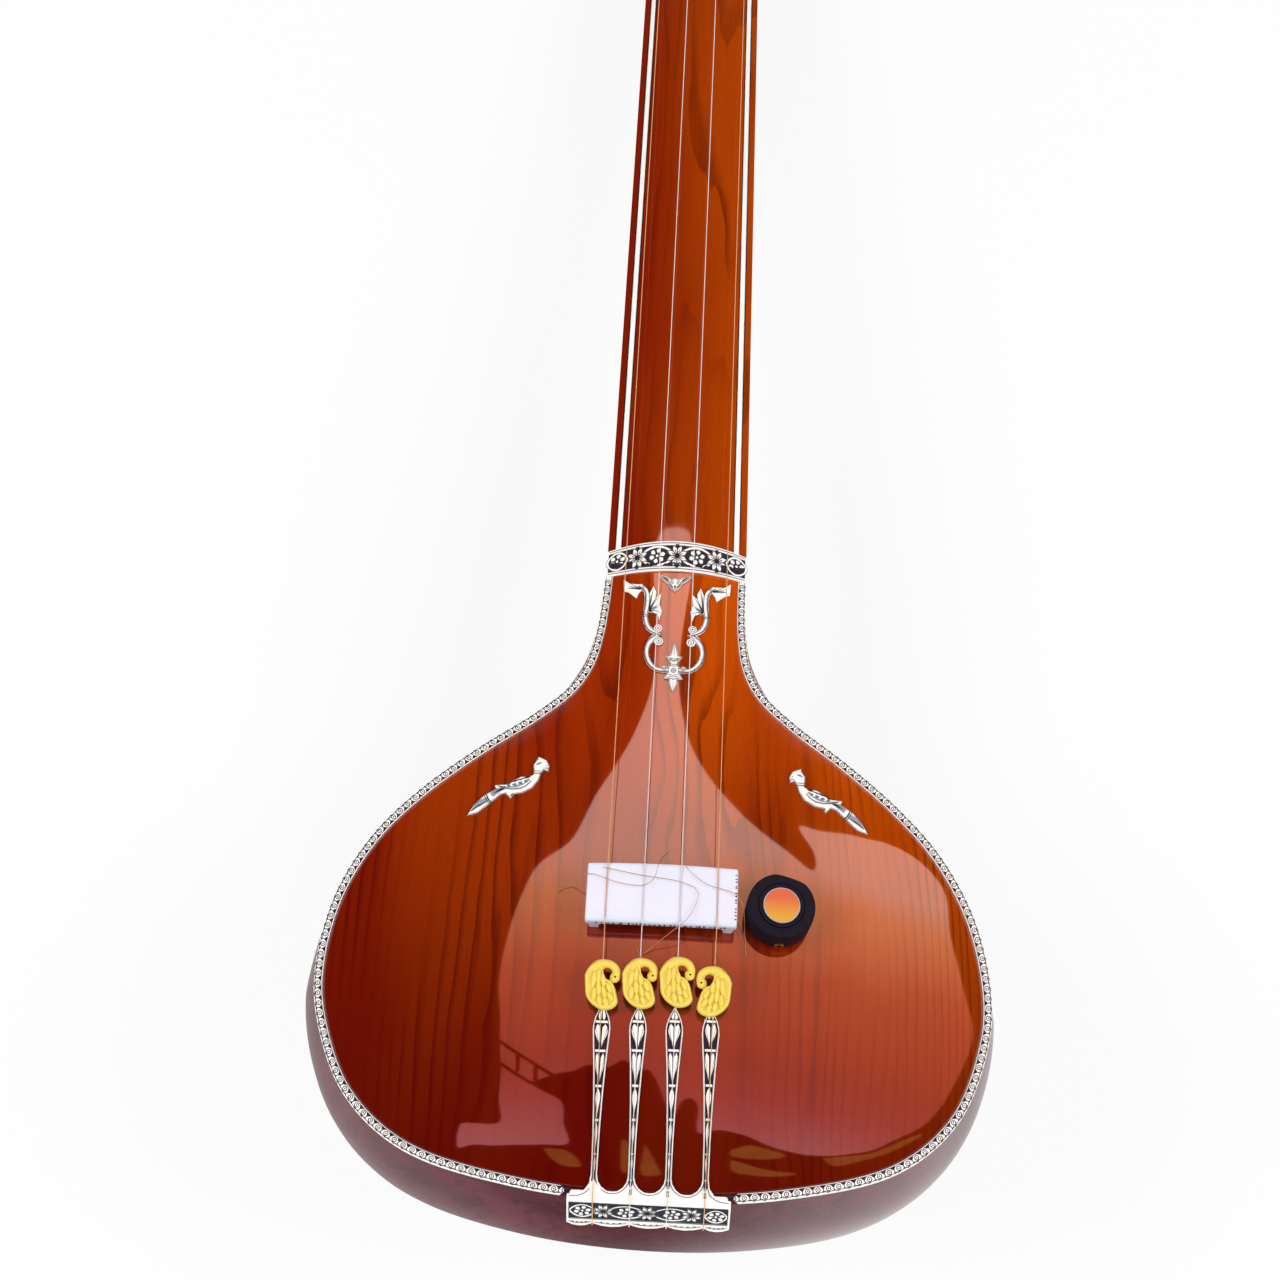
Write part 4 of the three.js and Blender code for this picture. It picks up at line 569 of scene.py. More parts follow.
# The tree of nodes that repeats one engraved scroll along a strip.
tree = bpy.data.node_groups.new("scrolls_along_strip", "GeometryNodeTree")
tree.is_modifier = True
inputs = {"Strip": "Geometry", "Scroll": "Object", "Spacing": "Float", "Ink": "Material"}
sockets = {
    label: tree.interface.new_socket(label, in_out="INPUT", socket_type="NodeSocket" + kind)
    for label, kind in inputs.items()
}
tree.interface.new_socket("Engraving", in_out="OUTPUT", socket_type="NodeSocketGeometry")


def step(kind, settings=(), **links):
    node = tree.nodes.new(kind)
    for name, value in dict(settings).items():
        setattr(node, name, value)
    for socket, source in links.items():
        tree.links.new(source, node.inputs[socket.replace("_", " ")])
    return node.outputs


given = step("NodeGroupInput")
line = step("GeometryNodeMeshToCurve", Mesh=given["Strip"])[0]
spaced = step("GeometryNodeResampleCurve", {"mode": "LENGTH"}, Curve=line, Length=given["Spacing"])[0]
tangent = step("GeometryNodeInputTangent")[0]
turn = step("FunctionNodeAlignRotationToVector", {"axis": "X", "pivot_axis": "Z"}, Vector=tangent)[0]
drawn = step("GeometryNodeObjectInfo", Object=given["Scroll"])["Geometry"]
copies = step("GeometryNodeInstanceOnPoints", Points=spaced, Instance=drawn, Rotation=turn)[0]
real = step("GeometryNodeRealizeInstances", Geometry=copies)[0]
inked = step("GeometryNodeSetMaterial", Geometry=real, Material=given["Ink"])[0]
step("NodeGroupOutput", Engraving=inked)

for side, name in ((-1, "left"), (1, "right")):
    edge, away = rimward(side)
    profile = [
        (0, SEAT), (0, BINDING_TOP - BINDING_ROUND), (0.2, BINDING_TOP - 0.2), (BINDING_ROUND, BINDING_TOP)
    ]
    profile += [(BINDING - inset, z) for inset, z in reversed(profile)]
    rings, n = [], len(profile)
    for p, out_there in zip(edge, away):
        left = np.linalg.norm(edge[-1] - p)
        pinch = math.sqrt(max(1 - max(1 - left / TAPER, 0) ** 2, 0.02))
        for inset, z in profile:
            q = p - out_there * (BINDING / 2 + (inset - BINDING / 2) * pinch)
            rings.append((q[0], min(q[1], LENGTH - NECK_GAP), z))
    faces = list(quads(len(edge), n))
    faces += [tuple(range(n))[::-1], tuple(range(len(rings) - n, len(rings)))]
    faces = faces if side > 0 else [face[::-1] for face in faces]
    binding = make(f"binding_{name}", rings, faces, ivory)
    crisp(binding)
    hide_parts(f"rim_binding_{name}")

    flat_points, flat_faces = [], []
    for shape_points, shape_faces in motif:
        start = len(flat_points)
        flat_points += [(x - MOTIF_SPAN / 2, (y - BINDING / 2) * -side, 0) for x, y in shape_points]
        flat_faces += [tuple(i + start for i in face[::-side]) for face in shape_faces]
    pattern = put("scroll_pattern", shaped("scroll_pattern", flat_points, flat_faces))
    middle = edge - away * BINDING / 2
    middle = middle[middle[:, 1] < LENGTH - UNDER_BAND]
    links = [(i, i + 1) for i in range(len(middle) - 1)]
    guide = shaped(f"binding_{name}_scrolls", [(*p, BINDING_TOP + SCROLL_LIFT) for p in middle], [], links)
    scrolls = put(f"binding_{name}_scrolls", guide)
    repeat = scrolls.modifiers.new("scrolls", "NODES")
    repeat.node_group = tree
    repeat[sockets["Scroll"].identifier] = pattern
    repeat[sockets["Spacing"].identifier] = MOTIF_SPAN
    repeat[sockets["Ink"].identifier] = ink
    made = worked_out(scrolls)
    scrolls.modifiers.clear()
    made.transform(TO_ROW)
    made.materials.clear()
    made.materials.append(ink)
    scrolls.data = made
    thicken(scrolls)
    bpy.data.objects.remove(pattern)
    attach(scrolls, "instrument")
    film(f"binding_{name}_borders", [(ink, [pen(edge - away * inset, 0.2) for inset in (0.75, 4.25)])], on_binding)


# Band over the joint of neck and soundboard. A strip of the same white plastic, bent over the
# joint and engraved with a row of round flowers and daisies.
def leaf(x, y, angle, length, width, blunt=0.5):
    """A pointed petal that starts at a place; blunt is where along it is widest."""
    t = np.linspace(0, 1, 9)
    half = width / 2 * np.sin(np.pi * t ** (math.log(0.5) / math.log(blunt)))
    edge = np.concatenate([np.stack([t * length, half], 1), np.stack([t * length, -half], 1)[-2:0:-1]])
    c, s = math.cos(angle), math.sin(angle)
    return patch(edge @ np.array([[c, s], [-s, c]]) + (x, y))


def contour(shape, width, inset=0.0):
    """The edge of a filled shape as a line, moved in by some distance."""
    edge = shape[0][:-1]
    edge = np.concatenate([edge[-1:], edge, edge[:2]])
    return pen(beside(edge, inset + PEN / 2 * width)[1:-1], width)


def round_flower(x, y, across, along):
    dark, petals, lines = [oval(x, y, across, along)], [oval(x, y, 0.17 * along, 0.17 * along, 8)], []
    for turn in np.arange(6) * math.pi / 3 + 0.3:
        c, s = across * math.cos(turn), along * math.sin(turn)
        reach, way = math.hypot(c, s), math.atan2(s, c)
        petals.append(leaf(x + 0.2 * c, y + 0.2 * s, way, 0.74 * reach, 0.55 * along, 0.66))
        lines.append(leaf(x + 0.2 * c, y + 0.2 * s, way, 0.3 * reach, 0.07 * along))
    return dark, petals, lines


def daisy(x, y, size):
    dark, petals = [oval(x, y, 0.62 * size, 0.62 * size)], []
    lines = [hoop(x, y, 0.2 * size, 0.2 * size, 0.035 * size, 12)]
    for turn in np.arange(8) * math.pi / 4 + 0.39:
        petal = leaf(x, y, turn, size, 0.5 * size, 0.58)
        petals.append(petal)
        lines.append(contour(petal, 0.045 * size))
        start = (x + 0.24 * size * math.cos(turn), y + 0.24 * size * math.sin(turn))
        lines.append(leaf(*start, turn, 0.34 * size, 0.07 * size))
        dark.append(leaf(x, y, turn + 0.39, 0.86 * size, 0.2 * size, 0.4))
    petals.append(oval(x, y, 0.2 * size, 0.2 * size, 12))
    return dark, petals, lines


def frieze(centres, y, across, along, size, border):
    """Round flowers and daisies by turns, with long pointed leaves as broad as the border round the
    flowers. Gives its layers from below, black and white by turns."""
    wedges, broad, ovals, petals, lines = [], [], [], [], []
    for i, x in enumerate(centres):
        if i % 2:
            dark, white, strokes = daisy(x, y, size)
            wedges += dark
            broad += white
            for end in (-size, size):
                wedges.append(patch([(x - 1.2, y + 1.02 * end), (x + 1.2, y + 1.02 * end), (x, y + 0.7 * end)]))
        else:
            dark, white, strokes = round_flower(x, y, across, along)
            ovals += dark
            petals += white
            reach = min(2.1 * across, centres[-1] + 1.2 * across - abs(x))
            for side in (-border, border):
                bow = np.linspace(-1, 1, 15)
                rise = (along + 0.9) * (1 - bow**2) ** 0.8
                line = np.stack([x + reach * bow, y + math.copysign(1, side) * rise], 1)
                broad.append(strip(beside(line, side * -0.1), border))
                lines.append(pen(beside(line, side * 0.5), 0.16))
        lines += strokes
    return [wedges, broad, ovals, petals, lines]


def plate_half(y):
    """Half the width of the neck plate, over that where it begins."""
    head_share = np.maximum((y - LENGTH) / (NECK_END - LENGTH), 0)
    return NECK_HALF + (HEAD_HALF - NECK_HALF) * head_share


def on_band(x, h, z):
    """Over the band: across, and up from its lower edge."""
    arch = 1 - (x / NECK_HALF) ** 2
    y = LENGTH - 10 + 5.6 * arch + h * (BAND_WIDTH + 3.4 * arch) / BAND_WIDTH
    half = plate_half(y)
    plate_top = SEAT + PLATE + NECK_CROWN * (1 - (x / half) ** 2)
    board = np.maximum(board_top(np.clip(x, -38, 38), y), BINDING_TOP)
    base = np.where(y < LENGTH, board, plate_top)
    return np.stack([x * half / NECK_HALF, y, base + INLAY_GAP + BAND + z], 1)


HEAD_HALF, NECK_END, PLATE, INLAY_GAP = 41, 1196, 4, 0.45
BAND, BAND_WIDTH, BAND_HALF = 1.1, 18, 44.3
shade = mottled("engraving_grey", (0.16, 0.19, 0.26), (0.4, 0.43, 0.5), 700, 3.0, Roughness=0.5)
flat_line = np.stack([np.linspace(-43.6, 43.6, 61), np.zeros(61)], 1)
row = BAND_WIDTH / 2
wedges, broad, ovals, petals, lines = frieze(np.arange(-3, 4) * 12.7, row, 5.5, 4.9, 7.0, 1.3)
wedges += [strip(flat_line + (0, row + h), 2.16) for h in (np.arange(6) - 2.5) * 2.13]
lines += [pen(flat_line + (0, h), 0.26) for h in (1.3, 16.8)]
layers = zip((ink, ivory, ink, ivory, ink), (wedges, broad, ovals, petals, lines))
film("band_engraving", list(layers), on_band)
across, up = np.meshgrid(np.linspace(-BAND_HALF, BAND_HALF, 91), np.linspace(0, BAND_WIDTH, 13))
sheet = [on_band(across.ravel(), up.ravel(), z) for z in (0, -BAND)]
size = across.size
faces = []
for a, b, c, d in quads(*across.shape, closed=False):
    faces += [(a, b, c, d), (size + a, size + d, size + c, size + b)]
number = np.arange(size).reshape(across.shape)
around = [*number[0], *number[1:, -1], *number[-1, -2::-1], *number[-2:0:-1, 0]]
faces += [(b, a, size + a, size + b) for a, b in zip(around, around[1:] + around[:1])]
band = make("band", np.concatenate(sheet), faces, ivory)
crisp(band)
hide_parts("neck_band")


# Scroll and leaf. Pieces of white plastic sawn out, let into the soundboard's varnish under the
# band and engraved: each stem looks like a round tube, and each leaf has veins.
INLAY = 0.8


def on_board(x, y, z):
    return np.stack([x, y, board_top(x, y) + INLAY_GAP + INLAY + z], 1)


SCROLL = (0.9, 301.3, 79)
STEM = [
    (0.3, 0.955, 0.02), (0.245, 0.9, 0.02), (0.235, 0.78, 0.021), (0.245, 0.67, 0.02),
    (0.215, 0.57, 0.02), (0.15, 0.525, 0.016), (0.1, 0.51, 0.006),
]
HOOK = [
    (0.135, 0.512, 0.012), (0.165, 0.485, 0.024), (0.208, 0.43, 0.021), (0.222, 0.35, 0.02),
    (0.195, 0.26, 0.02), (0.13, 0.2, 0.018), (0.04, 0.195, 0.018),
]
CURLS = [(0.137, 0.567, 0.034), (0.128, 0.452, 0.036), (0.075, 0.208, 0.024)]
SPEAR = [
    (0, 0), (-0.035, 0.09), (-0.03, 0.12), (-0.073, 0.123), (-0.045, 0.175), (-0.045, 0.22), (-0.03, 0.25),
    (-0.035, 0.275), (-0.065, 0.318), (-0.032, 0.325), (0, 0.458),
]
LEAF_VEINS = [(0.19, 0.925), (0.205, 0.87), (0.14, 0.86), (0.16, 0.85), (0.128, 0.78), (0.125, 0.71), (0.133, 0.66)]


def at(places, side=1):
    """Places of the scroll, from its middle and its foot, in shares of its height."""
    return np.array([(SCROLL[0] + side * x * SCROLL[2], SCROLL[1] + y * SCROLL[2]) for x, y, *_ in places])


def both(places):
    """A line from the middle out and back to it, and the same mirrored."""
    return places + [(-x, y) for x, y in places[-2:0:-1]]


grey, lines = [], []
for side in (-1, 1):
    for stem in (STEM, HOOK):
        line = smooth_line(at(stem, side), 40)
        widths = np.interp(np.linspace(0, 1, 40), np.linspace(0, 1, len(stem)), [w for *_, w in stem])
        half = widths[:, None] * SCROLL[2] * side
        grey.append(strip(beside(line, half * 0.4), 0.5))
        lines += [pen(beside(line, half * 0.76), 0.28), pen(beside(line, half * -0.84), 0.2)]
        lines += [oval(*(line[i] + (0.1, 0)), 0.22, 0.22, 8) for i in (12, 20, 28)]
    collar = smooth_line(at(STEM, side), 40)
    for i in (2, 3, 21, 22):
        way = (collar[i + 1] - collar[i - 1]) / np.linalg.norm(collar[i + 1] - collar[i - 1])
        across = np.array([-way[1], way[0]]) * 1.7
        lines.append(pen([collar[i] - across, collar[i] + across], 0.24))
    for (x, y), size in zip(at(CURLS, side), [radius * SCROLL[2] for *_, radius in CURLS]):
        lines += [hoop(x, y, 0.62 * size, 0.62 * size, 0.22), oval(x, y, 0.2 * size, 0.2 * size, 8)]
    tip, stalk, foot = at([(0.425, 0.955), (0.29, 0.92), (0.215, 0.72)], side)
    for bend in (-1.6, -0.2, 1.3):
        bow = [stalk, (stalk + tip) / 2 + (0, bend), tip + (-side * 2.5, bend * 1.6)]
        lines.append(pen(smooth_line(bow, 12), (0.5, 0.25, 0.08)))
    bow = [stalk, (stalk + tip) / 2 + (0, -1.0), tip + (-side * 2, -2.4)]
    grey.append(strip(smooth_line(bow, 12), (1.6, 1.3, 0.2)))
    for end in at(LEAF_VEINS, side):
        lines.append(pen(smooth_line([foot, (foot + end) / 2 + (0, 0.6), end], 10), (0.42, 0.26, 0.08)))
    for x, y in at([(0.18, 0.8), (0.15, 0.76)], side) - foot:
        grey.append(leaf(*foot, math.atan2(y, x), 6.2, 1.7, 0.5))
lines.append(contour(patch(at(both(SPEAR))), 0.2, 0.3))
lines += [pen(at([(0, low), (0, high)]), (0.1, 0.3, 0.1)) for low, high in ((0.03, 0.1), (0.33, 0.44))]
for y in (0.14, 0.155, 0.235, 0.25, 0.285, 0.3):
    lines.append(pen(at([(-0.035, y + 0.004), (0, y - 0.004), (0.035, y + 0.004)]), 0.22))
boss = at([(0, 0.195)])[0]
lines += [hoop(*boss, 1.5, 1.5, 0.24, 16), hoop(*boss, 0.6, 0.6, 0.2, 10)]
for lean in (-0.05, 0.05):
    lines += [pen(at([(0, low), (lean, high)]), (0.35, 0.12)) for low, high in ((0.115, 0.135), (0.275, 0.315))]
film("scroll_engraving", [(shade, grey), (ink, lines)], on_board)

LEAF, LEAF_SIZE = np.array((-0.5, 378.6)), 11.1
LEAF_EDGE = [(0, -0.5), (0.2, -0.36), (0.42, -0.02), (0.75, 0.24), (1, 0.54), (0.4, 0.38), (0.2, 0.24), (0, 0.36)]
sprig = patch(LEAF + np.array(both(LEAF_EDGE)) * LEAF_SIZE)
lines = [contour(sprig, 0.22, 0.35), leaf(*(LEAF - (0, 4.2)), math.pi / 2, 3.2, 1.1)]
for lean in (-1, 1):
    berry = LEAF + (2.3 * lean, 0.4)
    lines += [hoop(*berry, 1.15, 1.15, 0.24, 14), oval(*berry, 0.35, 0.35, 8)]
    for vein in ([(3.9, 1.0), (8.8, 4.5)], [(4.4, 2.2), (8.4, 4.9)], [(1.2, -3.0), (3.6, -0.6)]):
        lines.append(pen(LEAF + np.array(vein) * (lean, 1), (0.5, 0.12)))
film("leaf_engraving", [(ink, lines)], on_board)
dress(ivory, "scroll_ornament", "leaf_ornament")


# Birds. One on each side, sawn out of white plastic and let in like the scroll. Wings and feathers
# are engraved and rubbed with black and grey; a stroke is given as its breadth and its places.
BIRD_MIDDLE, BIRD_TAIL, BIRD_SIZE, BIRD_PEN = 1, (119, 215.5), 48.5, 1.25
BIRD_EDGE = [
    (0, 0), (0.13, 0.04), (0.26, 0.16), (0.39, 0.29), (0.45, 0.31), (0.52, 0.24), (0.55, 0.3), (0.66, 0.32),
    (0.78, 0.39), (0.85, 0.5), (0.87, 0.59), (0.9, 0.64), (0.96, 0.62), (0.97, 0.69), (0.93, 0.77),
    (0.87, 0.8), (0.82, 0.82), (0.8, 0.76), (0.77, 0.71), (0.78, 0.57), (0.73, 0.54), (0.63, 0.54),
    (0.51, 0.47), (0.46, 0.43), (0.31, 0.42), (0.33, 0.37), (0.18, 0.27), (0.07, 0.14),
]
BIRD_SHADES = [
    ((0.4, 3.0, 2.6), [(0.06, 0.08), (0.15, 0.17), (0.235, 0.22)]),
    ((2.4, 2.8, 0.6), [(0.28, 0.28), (0.36, 0.345), (0.44, 0.37)]),
    ((1.5, 3.8, 3.2, 0.6), [(0.47, 0.4), (0.56, 0.43), (0.66, 0.47), (0.74, 0.5)]),
]
BIRD_LINES = [
    ((0.4, 0.8, 0.2), [(0.05, 0.06), (0.12, 0.12), (0.22, 0.19)]),
    ((0.5, 0.7, 0.5), [(0.215, 0.29), (0.25, 0.22), (0.29, 0.175)]),
    (0.28, [(0.195, 0.27), (0.23, 0.205), (0.27, 0.155)]),
    ((0.2, 1.1, 0.5), [(0.3, 0.3), (0.38, 0.35), (0.47, 0.385)]),
    ((0.2, 0.8, 0.3), [(0.35, 0.41), (0.4, 0.39), (0.45, 0.4)]),
    ((0.45, 0.5, 0.4), [(0.46, 0.37), (0.56, 0.365), (0.68, 0.4), (0.76, 0.48)]),
    ((0.6, 1.2, 0.5), [(0.47, 0.44), (0.57, 0.475), (0.7, 0.52)]),
    ((0.5, 1.0, 0.3), [(0.66, 0.5), (0.7, 0.53), (0.745, 0.535)]),
    (0.42, [(0.765, 0.6), (0.81, 0.585), (0.86, 0.59)]),
    (0.3, [(0.765, 0.63), (0.81, 0.615), (0.865, 0.62)]),
    ((0.15, 0.75, 0.35), [(0.8, 0.7), (0.84, 0.725), (0.87, 0.735)]),
    ((0.4, 0.1), [(0.925, 0.7), (0.95, 0.685)]),
    ((0.1, 0.35, 0.2), [(0.9, 0.655), (0.94, 0.66), (0.965, 0.64)]),
    ((0.5, 0.15), [(0.81, 0.8), (0.83, 0.77)]),
    ((0.5, 0.2), [(0.52, 0.27), (0.54, 0.31)]),
]
for x in (0.5, 0.57, 0.64, 0.71):
    y = (x - 0.5) * 0.35
    BIRD_LINES.append(((0.35, 0.5, 0.2), [(x, 0.385 + y), (x - 0.03, 0.42 + y), (x + 0.03, 0.46 + y)]))
BIRD_LIGHTS = []
for x in (0.53, 0.6, 0.67):
    y = (x - 0.5) * 0.35
    BIRD_LIGHTS.append(((0.7, 0.95, 0.3), [(x, 0.39 + y), (x - 0.02, 0.42 + y), (x + 0.05, 0.455 + y)]))


def on_bird(places, side):
    """Places of a bird, from the tip of its tail, in shares of its length."""
    shares = np.array(places) * BIRD_SIZE
    return np.stack([BIRD_MIDDLE + side * (BIRD_TAIL[0] - shares[:, 0]), BIRD_TAIL[1] + shares[:, 1]], 1)


for side, name in ((-1, "left"), (1, "right")):
    shades, dark, white = [], [], []
    for drawn, strokes in ((shades, BIRD_SHADES), (dark, BIRD_LINES), (white, BIRD_LIGHTS)):
        for width, places in strokes:
            line = smooth_line(on_bird(places, side), 14 if len(places) > 2 else 4)
            drawn.append(strip(line, BIRD_PEN * np.asarray(width)))
    edge = on_bird(BIRD_EDGE[::-side], side)
    closed = np.concatenate([edge, edge[:1]])
    dark += [oval(*on_bird([(0.64, 0.365)], side)[0], 0.3, 0.3, 8), contour((closed, None), 0.16, 0.12)]
    film(f"bird_{name}_engraving", [(shade, shades), (ink, dark), (ivory, white)], on_board)
    dress(ivory, f"bird_{name}")


# Tail plate. A white plastic plate bent down over the tail, with four fingers on the soundboard.
# Each finger lies under a string and is engraved with petals between white bars.
TAIL_BEND, RAIL_TOP, TAIL_SLOPE, TAIL_PLATE = -0.6, 4.1, 1.074, 0.9


def on_tail(x, y, z):
    lift = TAIL_PLATE + z
    lying = np.stack([x, y, np.maximum(board_top(x, y), RAIL_TOP) + SEAT + lift], 1)
    past = np.maximum(TAIL_BEND - y, 0)
    c, s = math.cos(TAIL_SLOPE), math.sin(TAIL_SLOPE)
    bent = np.stack([x, TAIL_BEND - past * c - s * lift, RAIL_TOP + SEAT - past * s + c * lift], 1)
    return np.where((y > TAIL_BEND)[:, None], lying, bent)


def finger_half(y):
    """Half the width of a finger of the tail plate."""
    down = np.clip((y - 13) / 77, 0, 1)
    return float(np.where(y > 90, 4.9 * (1 - ((y - 90) / 14) ** 2), 1.7 + 3.2 * down**2))


FINGER_SPACING, TIP, FOOT = 20.3, 102.2, 8.5
BARS, MORE_AT_RIGHT = np.array([94, 78, 59, 41, 23.5, 10]), np.array([3, 3, 3, 3, 2.5, 2.6])
dark, white, lines = [], [], []
ys = np.linspace(FOOT, TIP, 60)
inner = np.array([max(finger_half(y) - 1.0, 0.12) for y in ys])
for k in range(4):
    x = (k - 1.5) * FINGER_SPACING
    bars = BARS + MORE_AT_RIGHT * k / 3
    dark.append(strip(np.stack([np.full(60, x), ys], 1), 2 * inner))
    for turn in (-1, 1):
        lines.append(pen(np.stack([x + turn * (inner + 0.1), ys], 1), 0.26))
    for i, (high, low) in enumerate(zip(bars, (*bars[1:], 3.0))):
        wide = finger_half(high - 2) - 1.1
        for place in (high - 1.4, low + 1.4):
            end = max(finger_half(place) - 1.05, 0.2)
            dark.append(strip([(x, place - 1.1), (x, place + 1.1)], 2 * end))
        white.append(strip([(x - wide * 1.15, high), (x + wide * 1.15, high)], 1.3 if i < 4 else 0.7))
        length = high - low - 2.2
        if i < 2:
            for turn in (-1, 1):
                start = (x + turn * 0.35, low + 1.0)
                lean = math.pi / 2 - turn * math.atan2(wide * 0.5, length)
                white.append(leaf(*start, lean, length, wide * 1.02, 0.7))
                lines.append(pen([start, (x + turn * wide, high - 1.6)], (0.12, 0.2, 0.12)))
            lines.append(pen([(x, low + 0.8), (x, high - 1.0)], (0.25, 0.35, 0.7)))
        elif i < 5:
            white.append(leaf(x, low + 0.9, math.pi / 2, length, wide * 1.6, 0.7))
    bud = bars[0]
    for turn in (-1, 1):
        white.append(leaf(x + turn * 1.15, bud + 1.0, math.pi / 2 + turn * 0.1, 6.8, 2.0, 0.4))
    lines.append(pen([(x, bud + 0.6), (x, bud + 6.8)], (0.6, 0.3, 0.12)))
    lines += [hoop(x, place, 0.55, 0.8, 0.22, 10) for place in (8.0, 5.6)]
    lines.append(pen([(x, 4.6), (x, -4.4)], 0.2))
for gap_x in (-FINGER_SPACING, 0, FINGER_SPACING):
    radius = FINGER_SPACING / 2 - 0.7
    lines.append(pen(arc(gap_x, 13, radius, radius, 183, 357, 24), 0.22))
for side in (-1, 1):
    foot = 1.5 * FINGER_SPACING
    bow = np.array([(foot + 0.7, 13), (foot + 2.6, 5.2), (foot + 7.5, 2.1), (43.4, 1.5)]) * (side, 1)
    lines.append(pen(smooth_line(bow, 18), 0.22))
FRAME_HALF, FRAME_TOP, FRAME_FOOT = 43.2, -0.9, -14.6
row = (FRAME_TOP + FRAME_FOOT) / 2
flowers = frieze(np.array([-35.9, -24.7, -12.1, -0.6, 12.9, 23.7, 36.9]), row, 5.2, 4.3, 6.0, 1.0)
dark.append(strip([(-FRAME_HALF, row), (FRAME_HALF, row)], 13.0))
corners = [(-FRAME_HALF, FRAME_TOP), (FRAME_HALF, FRAME_TOP), (FRAME_HALF, FRAME_FOOT), (-FRAME_HALF, FRAME_FOOT)]
for start, end in zip(corners, corners[1:] + corners[:1]):
    lines.append(pen(np.linspace(start, end, 30), 0.3))
for i in range(-12, 13):
    x, size = i * 3.45, 0.95 if i % 2 else 0.6
    dark.append(patch([(x - size, -1.1), (x + size, -1.1), (x, -1.1 - size)]))
notches = [-44.6, *((np.arange(4) - 1.5) * FINGER_SPACING), 44.6]
for start, end in zip(notches, notches[1:]):
    t = np.linspace(0.08, 0.92, 16)
    line = np.stack([start + (end - start) * t, -16.6 - 7.2 * t * (1 - t)], 1)
    lines.append(pen(line, 0.24))
    for mark in line[3:13:3]:
        dark.append(patch([mark + (-0.9, 0.2), mark + (0.9, 0.2), mark + (0, 1.1)]))
dark, white, lines = dark + flowers[0], white + flowers[1], flowers[4] + lines
layers = [(ink, dark), (ivory, white), (ink, flowers[2]), (ivory, flowers[3]), (ink, lines)]
film("tail_engraving", layers, on_tail)
dress(ivory, "tail_plate", "hitch_rail")


# Strips along the neck, nut and string guide. Two flat white strips are let into the neck plate
# near its edges, each between thin black lines; nut and guide stand across it at the far end.
STRIP_EDGES, STRIP_START, STRIP_END, NARROWING = ((39.75, 0), (35.95, 0.32)), 400.5, 1195, 3.06
STRIP_TOP, FLANK = 4.66, 0.076


def on_neck(x, y, z):
    return np.stack([x, y, STRIP_TOP + (40 - abs(x)) * FLANK + z], 1)


for side, name in ((-1, "left"), (1, "right")):
    edges = []
    for x, more in STRIP_EDGES:
        ends = (side * x, STRIP_START), (side * (x - NARROWING + more), STRIP_END)
        edges.append(pen(np.linspace(*ends, 60), 0.3))
    film(f"neck_strip_{name}_lines", [(ink, edges)], on_neck)
dress(ivory, "neck_strip_left", "neck_strip_right", "nut", "string_guide")


# Bridge. A plate of white plastic on a board with two feet, sawn and filed by hand; its top is
# filed to a slow curve on which the strings buzz, and the saw has left nicks along its edges,
# whose shade is painted on as black patches.
BRIDGE_TOP, BRIDGE_UNDER, BRIDGE_MIDDLE = 36.5, 29.5, 164.5
BRIDGE_HALF, BRIDGE_DEPTH, BRIDGE_ROUND, TAIL_ROUND, BRIDGE_BOW = 43, 17, 1.6, 3.4, 1.2
BRIDGE_LIP, CROWN_DROP = 2.5, 1.0
bridge_white, bridge_shader, place = finish("bridge_white", Roughness=0.35, Coat_Weight=0.3, Coat_Roughness=0.1)
saw_marks = place.stretched(700, 25, 700).cloud(3.0, 0.1)
milky = place.cloud(3.0, 0.0, 60).blend((0.68, 0.73, 0.87), (0.76, 0.8, 0.93))
feed(bridge_shader, "Base Color", (saw_marks.step(0.5, 0.8) * 0.25).blend(milky, (0.72, 0.72, 0.88)))
relief(bridge_shader, saw_marks, 0.0001, 0.3)
curve = [(1 - math.sin(t), 1 - math.cos(t)) for t in np.radians(np.linspace(0, 90, 7))]
stations = np.linspace(-BRIDGE_HALF, BRIDGE_HALF, 173)
places = []
for x in stations:
    near_end = max(abs(x) - BRIDGE_HALF + BRIDGE_ROUND / 2, 0) / (BRIDGE_ROUND / 2)
    end = BRIDGE_ROUND / 2 * (1 - math.sqrt(1 - near_end**2))
    depth = BRIDGE_DEPTH - end
    bow = BRIDGE_BOW * (1 - (x / BRIDGE_HALF) ** 2)
    lip = BRIDGE_UNDER + BRIDGE_LIP
    section = [(-depth, BRIDGE_UNDER), (-depth, lip)]
    section += [(-depth + TAIL_ROUND * inwards, -TAIL_ROUND * down) for inwards, down in curve[::-1]]
    section += [(y * depth, 0) for y in np.linspace(-0.75, 0.85, 13)]
    section += [(depth - BRIDGE_ROUND * inwards, -BRIDGE_ROUND * down) for inwards, down in curve]
    section += [(depth, lip), (depth, BRIDGE_UNDER)]
    for y, z in section:
        if z <= 0:
            z += BRIDGE_TOP - CROWN_DROP * (y / BRIDGE_DEPTH) ** 2 - end
        places.append((x, BRIDGE_MIDDLE + y + bow * max(y / depth, 0), z))
count = len(section)
faces = [*quads(len(stations), count), tuple(range(count))[::-1], tuple(range(len(places) - count, len(places)))]
plate = make("bridge_top", places, faces, bridge_white)
crisp(plate, 40)
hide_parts("bridge_plate")


def on_tail_face(x, h, z):
    return np.stack([x, x * 0 + BRIDGE_MIDDLE - BRIDGE_DEPTH - z + 0.1, BRIDGE_UNDER + h], 1)


def on_bridge_top(x, y, z):
    return np.stack([x, y, BRIDGE_TOP - CROWN_DROP * ((y - BRIDGE_MIDDLE) / BRIDGE_DEPTH) ** 2 - 0.1 + z], 1)


